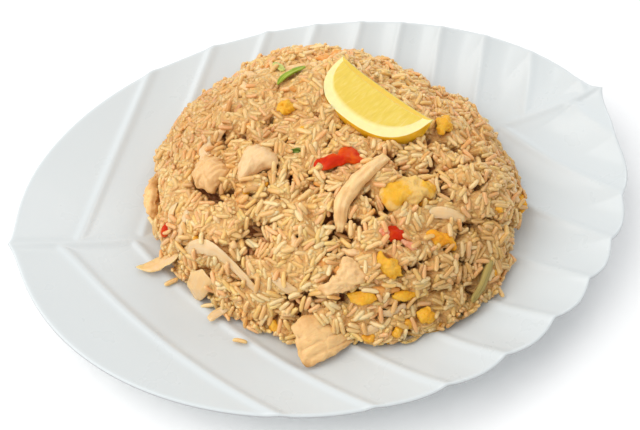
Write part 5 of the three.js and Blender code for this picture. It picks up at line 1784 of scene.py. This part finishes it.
class ToppingSettings(bpy.types.PropertyGroup):
    """Colours of what was fried with the rice, and the lemon's size."""

    lemon_radius: length_setting("Lemon radius", "Radius of the whole lemon", 0.027)
    lemon_flesh: colour_setting("Lemon flesh", "Colour of the juice cells", (0.77, 0.56, 0.08))
    lemon_pith: colour_setting("Lemon pith", "Colour of the white layer", (0.90, 0.80, 0.37))
    lemon_rind: colour_setting("Lemon rind", "Colour of the outer skin", (0.93, 0.55, 0.02))
    chicken_cream: colour_setting("Chicken", "Colour of the meat", (0.88, 0.56, 0.245))
    chicken_brown: colour_setting("Browned chicken", "Colour of fried edges", (0.70, 0.34, 0.09))
    egg_yellow: colour_setting("Egg", "Colour of the egg", (0.79, 0.43, 0.028))
    egg_orange: colour_setting("Rich egg", "Colour of egg rich in yolk", (0.82, 0.29, 0.012))
    egg_pale: colour_setting("Egg white", "Colour of the paler egg", (0.80, 0.52, 0.17))
    tomato_red: colour_setting("Tomato", "Colour of the tomato", (0.60, 0.024, 0.001))
    tomato_orange: colour_setting("Thin tomato", "Colour of thin tomato skin", (0.72, 0.10, 0.003))
    onion: colour_setting("Onion", "Colour of the onion", (0.76, 0.54, 0.31))
    greens_fresh: colour_setting("Greens", "Colour of fresh greens", (0.25, 0.37, 0.004))
    greens_pale: colour_setting("Pale greens", "Colour of pale stalks", (0.62, 0.62, 0.20))
    onion_golden: colour_setting("Golden onion", "Colour of fried onion", (0.84, 0.52, 0.20))
    tomato_pink: colour_setting("Tomato juice", "Colour of rice under tomato", (0.86, 0.46, 0.26))
    rice_fried: colour_setting("Fried bits", "Colour of bits from the pan", (0.80, 0.36, 0.07))


class StageSettings(bpy.types.PropertyGroup):
    """Floor, light and camera."""

    floor_colour: colour_setting("Floor", "Colour of the floor", (0.98, 0.98, 0.98))
    key_power: power_setting("Key light", "Power of the main light", 12.8)
    window_power: power_setting("Window", "Power of the window light", 2.0)
    room_light: FloatProperty(name="Room light", description="Brightness of the room", default=0.73, min=0.0)


# Operators


class BuildDish(bpy.types.Operator):
    """Makes the porcelain leaf dish"""

    bl_idname = "fried_rice.build_dish"
    bl_label = "Build Dish"

    def execute(self, context):
        settings = context.scene.dish_settings
        rings = dish_surface(settings)
        lip = np.zeros(rings.shape[:2])
        # the lip's outer rings get painted shade in grey
        lip[LIP_ROWS] = 1.0
        paint = porcelain_paint(settings)
        put_rings("leaf_dish", rings[:, ::-1], paint, "porcelain", ("dish",), {"lip": lip})
        return {"FINISHED"}


class BuildLemon(bpy.types.Operator):
    """Makes the lemon wedge"""

    bl_idname = "fried_rice.build_lemon"
    bl_label = "Build Lemon"

    def execute(self, context):
        settings = context.scene.topping_settings
        rings, flesh, zones, face = lemon_rings(settings)
        drawn = face * np.array([0.55, 0.14, 0.5])
        pulp = smooth(1.0 - flesh, 0.0, 0.06) * (np.abs(zones) < 0.5)
        amount = 0.11 * layered_noise(drawn, 1.0, 3, 2) * pulp - 0.25 * pulp
        amount = amount + 0.06 * cell_noise(rings, 1.1, 8) * (zones > 0.5)
        rings = rings + ring_normals(rings) * amount[..., None]
        put_rings(
            "lemon_wedge_cut", rings, lemon_paint(settings), "lemon", ("lemon_wedge",),
            {"flesh": flesh, "zone": zones, "face": face},
        )
        return {"FINISHED"}


class BuildChicken(bpy.types.Operator):
    """Makes the pieces of chicken"""

    bl_idname = "fried_rice.build_chicken"
    bl_label = "Build Chicken"

    def execute(self, context):
        settings = context.scene.topping_settings
        toppings = each_topping(CHICKEN, "_meat", context, 0.75, 23)
        for index, item, name, rings, flow, share in toppings:
            # painted shade: on the shaded strip the edge share runs across it, so one side is painted tan
            # where shade falls
            if item.get("shaded"):
                share = 0.5 + 0.5 * flow[..., 1] / np.abs(flow[..., 1]).max()
            edge = np.clip(share**2 + 0.25 * layered_noise(rings, 5.0, index), 0, 1)
            lump, size = item.get("lumps", (0.5, 4.4))
            rings = rough_up(rings, flow, 0.3, lump, size, 0.1, 31 * index, item.get("furrows", ()))
            if "burnt" in item:
                x, y, reach = item["burnt"]
                away = np.hypot(flow[..., 0] - x, flow[..., 1] - y)
                edge = np.maximum(edge, smooth(reach - away, 0, reach) * 3)
            paint = chicken_paint(settings, name, item["brown"], item["grain"], item.get("cream", (1, 1, 1)))
            put_rings(name, rings, paint, "chicken", (item["node"],), {"flow": flow, "edge": edge})
        return {"FINISHED"}


class BuildEgg(bpy.types.Operator):
    """Makes the bits of scrambled egg"""

    bl_idname = "fried_rice.build_egg"
    bl_label = "Build Egg"

    def execute(self, context):
        settings = context.scene.topping_settings
        toppings = each_topping(EGG, "_bit", context, 0.8, 29)
        for index, item, name, rings, flow, share in toppings:
            lump = 0.5 if item["border"] < 0 else 1.25
            rings = rough_up(rings, flow, 0.0, lump, 4.0, 0.22, 57 + 13 * index)
            if "yolks" in item:
                share = np.min([
                    np.hypot(flow[..., 0] - x, flow[..., 1] - y) / reach for x, y, reach in item["yolks"]
                ], axis=0)
            paint = egg_paint(settings, name, item["warm"], item["border"])
            put_rings(name, rings, paint, "egg", (item["node"],), {"edge": share})
        return {"FINISHED"}


class BuildTomato(bpy.types.Operator):
    """Makes the bits of tomato"""

    bl_idname = "fried_rice.build_tomato"
    bl_label = "Build Tomato"

    def execute(self, context):
        settings = context.scene.topping_settings
        paint = tomato_paint(settings)
        for index, item, name, rings, flow, _ in each_topping(TOMATO, "_bit", context, 0.7, 37):
            rings = rough_up(rings, flow, 0.2, 0.75, 4.4, 0.06, 91 + 7 * index)
            put_rings(name, rings, paint, "tomato", (item["node"],))
        return {"FINISHED"}


class BuildOnion(bpy.types.Operator):
    """Makes the onion strips"""

    bl_idname = "fried_rice.build_onion"
    bl_label = "Build Onion"

    def execute(self, context):
        settings = context.scene.topping_settings
        for index, item, name, rings, flow, _ in each_topping(ONION, "_strip", context, 0.6, 41):
            rings = rough_up(rings, flow, 0.14, 0.4, 5.0, 0.0, 131 + 5 * index)
            paint = onion_paint(settings, name, item["golden"])
            put_rings(name, rings, paint, "onion", (item["node"],), {"flow": flow})
        return {"FINISHED"}


class BuildGreens(bpy.types.Operator):
    """Makes the green stalks and leaves"""

    bl_idname = "fried_rice.build_greens"
    bl_label = "Build Greens"

    def execute(self, context):
        settings = context.scene.topping_settings
        for index, item, name, rings, flow, _ in each_topping(GREENS, "_stem", context, 0.6):
            rings = rough_up(rings, flow, 0.2, 0.25, 4.0, 0.0, 171 + 5 * index)
            paint = greens_paint(settings, name, item["pale"], item.get("tint", 1.0))
            put_rings(name, rings, paint, "greens", (item["node"],), {"flow": flow})
        return {"FINISHED"}


class BuildCrumbs(bpy.types.Operator):
    """Makes the small bits among the grains"""

    bl_idname = "fried_rice.build_crumbs"
    bl_label = "Build Crumbs"

    def execute(self, context):
        settings = context.scene.topping_settings
        for kind, (name, rows) in enumerate(CRUMBS.items()):
            vertices, faces = [], []
            for index, (bearing, slope, lift, turn, *size) in enumerate(rows):
                seed = 300 + 40 * kind + index
                angle, tilt = math.radians(bearing), math.radians(90 * slope)
                place = heap_seat(bearing, slope, lift - 0.7 + float(lump_lift(angle, tilt)), turn)
                rings, flow, _ = flake_rings(place, size, RAGGED, 0.3, 0.8, 0.12, seed)
                rings = rough_up(rings, flow, 0.1, 0.7, 2.8, 0.12, seed)[::2, ::3]
                start = sum(len(part) for part in vertices)
                vertices.append(with_middles(rings))
                crumb = faces_outward(vertices[-1], ring_faces(*rings.shape[:2]))
                faces += [[start + corner for corner in face] for face in crumb]
            slot = {"egg_crumbs": "egg", "pink_crumbs": "tomato"}.get(name, "chicken")
            put_piece(name, np.concatenate(vertices), faces, crumb_paint(settings, name), slot)
        return {"FINISHED"}


RICE_KINDS = (
    # name, tint, mean tone and share of the grains
    ("rice_cream", (1.03, 1.04, 1.10), 0.76, 0.20),
    ("rice_pale", (1.0, 1.0, 1.0), 0.64, 0.21),
    ("rice_golden", (1.0, 0.97, 0.78), 0.58, 0.21),
    ("rice_peach", (1.03, 0.86, 0.87), 0.60, 0.19),
    ("rice_deep", (0.97, 0.90, 0.80), 0.40, 0.19),
)
SHADE_TONE_PLACES = (
    # middle, reach and depth of the parts where the grains' tone is lowered as painted shade, on the lit
    # back-left and on the right
    (dome(np.radians(140.0), np.radians(50.0)), 55.0, 0.32),
    (dome(np.radians(20.0), np.radians(50.0)), 40.0, 0.16),
)
BLUSH_KIND = 3  # the row of rice_peach
BLUSH_REACH = 8.5  # how far from a tomato the grains are pinker
BLUSH_SHARE = 0.7
UNDER_GRAINS = ("leaf_dish", "rice_", "fallen_")  # names of pieces that aren't toppings
FALLEN = (
    # node, x, y and bearing of the grains that lie alone on the dish
    ("fallen_grain_left", -82.5, -17.0, 12.0),
    ("fallen_grain_front", -60.0, -58.0, -30.0),
)


class BuildRice(bpy.types.Operator):
    """Makes the heap's core and drops the grains on it, round what lies there already"""

    bl_idname = "fried_rice.build_rice"
    bl_label = "Build Rice"

    def execute(self, context):
        dish, settings = context.scene.dish_settings, context.scene.rice_settings
        toppings = [
            piece for piece in bpy.data.objects
            if ("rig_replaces" in piece or piece.name in CRUMBS) and not piece.name.startswith(UNDER_GRAINS)
        ]
        if not toppings:
            raise RuntimeError("the toppings come before the rice")
        vertices, polygons = [], []
        for piece in toppings:
            start = len(vertices)
            vertices += [vertex.co / MM for vertex in piece.data.vertices]
            polygons += [[start + index for index in face.vertices] for face in piece.data.polygons]
        cover = BVHTree.FromPolygons(vertices, polygons)
        number = settings.grain_number
        random = np.random.default_rng(SEED)
        grains, balls = drop_grains(cover, dish, settings, number, random)
        rings, dark = core_surface(dish, grain_level(balls))
        held = {"pit": dark, "dim": painted_shade_share(rings)}
        put_rings("rice_core", rings, core_paint(settings), "rice", ("rice_heap",), held)
        kinds = random.choice(len(RICE_KINDS), len(grains), p=[row[3] for row in RICE_KINDS])
        places = np.array([grain[0] for grain in grains])
        for item in TOMATO:
            near = np.linalg.norm(places - heap_seat(*item["seat"])[0], axis=1) < BLUSH_REACH
            kinds[near & (random.random(len(grains)) < BLUSH_SHARE)] = BLUSH_KIND
        for kind, (name, factor, middle, _) in enumerate(RICE_KINDS):
            chosen = [grain for grain, own in zip(grains, kinds) if own == kind]
            self.put_grains(name, chosen, factor, middle, settings, random)
        for name, x, y, turn in FALLEN:
            angle = math.radians(turn)
            axis = np.array([math.cos(angle), math.sin(angle), 0.05])
            width = settings.grain_width / MM
            centre = np.array([x, y, float(rest_height(x, y, dish)) + width * 0.45])
            grain = (centre, unit(axis), UP, settings.grain_length / MM, width, 2.0, 0.0, 0.0)
            piece = self.put_grains(name + "_rice", [grain], (1, 1, 1), 0.6, settings, random)
            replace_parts(piece, name)
        return {"FINISHED"}

    def put_grains(self, name, grains, factor, middle, settings, random):
        """One piece from grains of one kind, each with its own tone."""
        centres, axes, outs = (np.array([grain[k] for grain in grains]) for k in range(3))
        lengths, widths, lifts = (np.array([grain[k] for grain in grains]) for k in (3, 4, 5))
        roll = random.uniform(0, TURN, len(grains))
        side = unit(np.cross(axes, outs + 1e-6))
        ups = np.cos(roll)[:, None] * np.cross(side, axes) + np.sin(roll)[:, None] * side
        bends = random.uniform(0.05, 0.55, len(grains))
        vertices = grain_vertices(centres, axes, ups, lengths, widths, bends)
        clump = layered_noise(centres, 16.0, 77, 2)
        # tone that differs at random, plus painted shade: grains that rise less among the others are darker,
        # and so are those in the shade places
        tone = middle + 0.14 * clump + random.normal(0, 0.06, len(grains)) + 0.04 * (lifts - 1.5)
        for place, reach, depth in SHADE_TONE_PLACES:
            tone -= depth * bell(centres, place, reach)
        # painted shade: grains in pits are darker
        tone -= 0.5 * pit_share(*(np.array([grain[k] for grain in grains]) for k in (6, 7)))
        tone = np.clip(tone, 0.02, 1.0)
        stain = smooth(cell_noise(centres, 9.0, 78) + random.normal(0, 0.22, len(grains)), 0.2, 0.75)
        count = vertices.shape[1]
        along = np.concatenate([np.repeat(GRAIN_ALONG, GRAIN_SIDES), [-0.5, 0.5]])
        ends = np.tile(np.abs(along) * 2, len(grains))
        return put_piece(
            name, vertices.reshape(-1, 3), grain_faces(len(grains)), grain_paint(settings, name, factor),
            "rice", (), {
                "tone": np.repeat(tone, count), "ends": ends, "stain": np.repeat(stain, count),
                "dim": np.repeat(painted_shade_share(centres), count),
            },
        )


CAMERA_AZIMUTH = -17.0
CAMERA_ELEVATION = 54.0
CAMERA_DISTANCE = 0.56
CAMERA_LENS = 64.3
CAMERA_TARGET = (0, 0, 0.0025)
SENSOR_WIDTH = 36.0
IMAGE_WIDTH = 640.0
IMAGE_SHIFT = (-11.0, 8.0)  # pixels to the right and up
FLOOR_REACH = 3.0


def back_direction(azimuth, elevation):
    """Direction from the object to a viewer."""
    a, e = math.radians(azimuth), math.radians(elevation)
    return Vector((math.sin(a) * math.cos(e), -math.cos(a) * math.cos(e), math.sin(e)))


def look_along(thing, direction):
    """Turns a lamp or camera so that it looks along a direction."""
    thing.rotation_mode = "QUATERNION"
    thing.rotation_quaternion = direction.to_track_quat("-Z", "Y")


def put_light(name, place, target, size, power, colour=(1, 1, 1)):
    """Rectangular lamp that looks at a point."""
    lamp = bpy.data.lights.new(name, "AREA")
    lamp.shape = "RECTANGLE"
    lamp.size, lamp.size_y = size
    lamp.energy = power
    lamp.color = colour
    holder = bpy.data.objects.new(name, lamp)
    holder.location = place
    look_along(holder, Vector(target) - Vector(place))
    bpy.context.scene.collection.objects.link(holder)


class BuildStage(bpy.types.Operator):
    """Makes the floor, the lights and the camera"""

    bl_idname = "fried_rice.build_stage"
    bl_label = "Build Stage"

    def execute(self, context):
        scene, settings = context.scene, context.scene.stage_settings
        mesh = bpy.data.meshes.new("floor")
        corners = [(x * FLOOR_REACH, y * FLOOR_REACH, 0) for x, y in ((-1, -1), (1, -1), (1, 1), (-1, 1))]
        mesh.from_pydata(corners, [], [(0, 1, 2, 3)])
        mesh.materials.append(floor_paint(settings))
        floor = bpy.data.objects.new("floor", mesh)
        scene.collection.objects.link(floor)
        floor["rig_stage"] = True
        warm = (1, 0.99, 0.975)
        put_light("key_light", (-0.80, 0.08, 1.06), (0, 0, 0.03), (1.4, 1.4), settings.key_power, warm)
        put_light("window_light", (0.75, 0.6, 0.8), (0.1, 0, 0.02), (0.45, 0.6), settings.window_power)
        world = scene.world or bpy.data.worlds.new("room")
        scene.world = world
        world.use_nodes = True
        sky = world.node_tree.nodes["Background"]
        sky.inputs["Color"].default_value = (0.97, 0.985, 1.0, 1)
        sky.inputs["Strength"].default_value = settings.room_light
        scene.view_settings.view_transform = "Standard"
        camera = bpy.data.cameras.new("camera")
        camera.lens = CAMERA_LENS
        camera.sensor_width = SENSOR_WIDTH
        camera.shift_x = IMAGE_SHIFT[0] / IMAGE_WIDTH
        camera.shift_y = IMAGE_SHIFT[1] / IMAGE_WIDTH
        camera.clip_start, camera.clip_end = 0.01, 20
        holder = bpy.data.objects.new("camera", camera)
        back = back_direction(CAMERA_AZIMUTH, CAMERA_ELEVATION)
        holder.location = Vector(CAMERA_TARGET) + back * CAMERA_DISTANCE
        look_along(holder, -back)
        scene.collection.objects.link(holder)
        scene.camera = holder
        return {"FINISHED"}


class FriedRicePanel(bpy.types.Panel):
    """Lists what can be built"""

    bl_idname = "VIEW3D_PT_fried_rice"
    bl_label = "Fried Rice"
    bl_space_type = "VIEW_3D"
    bl_region_type = "UI"
    bl_category = "Fried Rice"

    def draw(self, context):
        for operator in OPERATORS:
            self.layout.operator(operator.bl_idname)


OPERATORS = (
    BuildStage, BuildDish, BuildLemon, BuildChicken, BuildEgg, BuildTomato, BuildOnion, BuildGreens,
    BuildCrumbs, BuildRice,
)
GROUPS = {
    "dish_settings": DishSettings,
    "rice_settings": RiceSettings,
    "topping_settings": ToppingSettings,
    "stage_settings": StageSettings,
}


def register():
    for group in GROUPS.values():
        bpy.utils.register_class(group)
    for name, group in GROUPS.items():
        setattr(bpy.types.Scene, name, PointerProperty(type=group))
    for operator in (*OPERATORS, FriedRicePanel):
        bpy.utils.register_class(operator)


def unregister():
    for operator in (FriedRicePanel, *reversed(OPERATORS)):
        bpy.utils.unregister_class(operator)
    for name in GROUPS:
        delattr(bpy.types.Scene, name)
    for group in reversed(GROUPS.values()):
        bpy.utils.unregister_class(group)


def main():
    register()
    for operator in OPERATORS:
        group, name = operator.bl_idname.split(".")
        getattr(getattr(bpy.ops, group), name)()
    boxes = {"cad": CAD_BOX, "visual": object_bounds()}
    {name: [list(corner) for corner in box] for name, box in boxes.items()}


if __name__ == "__main__":
    main()
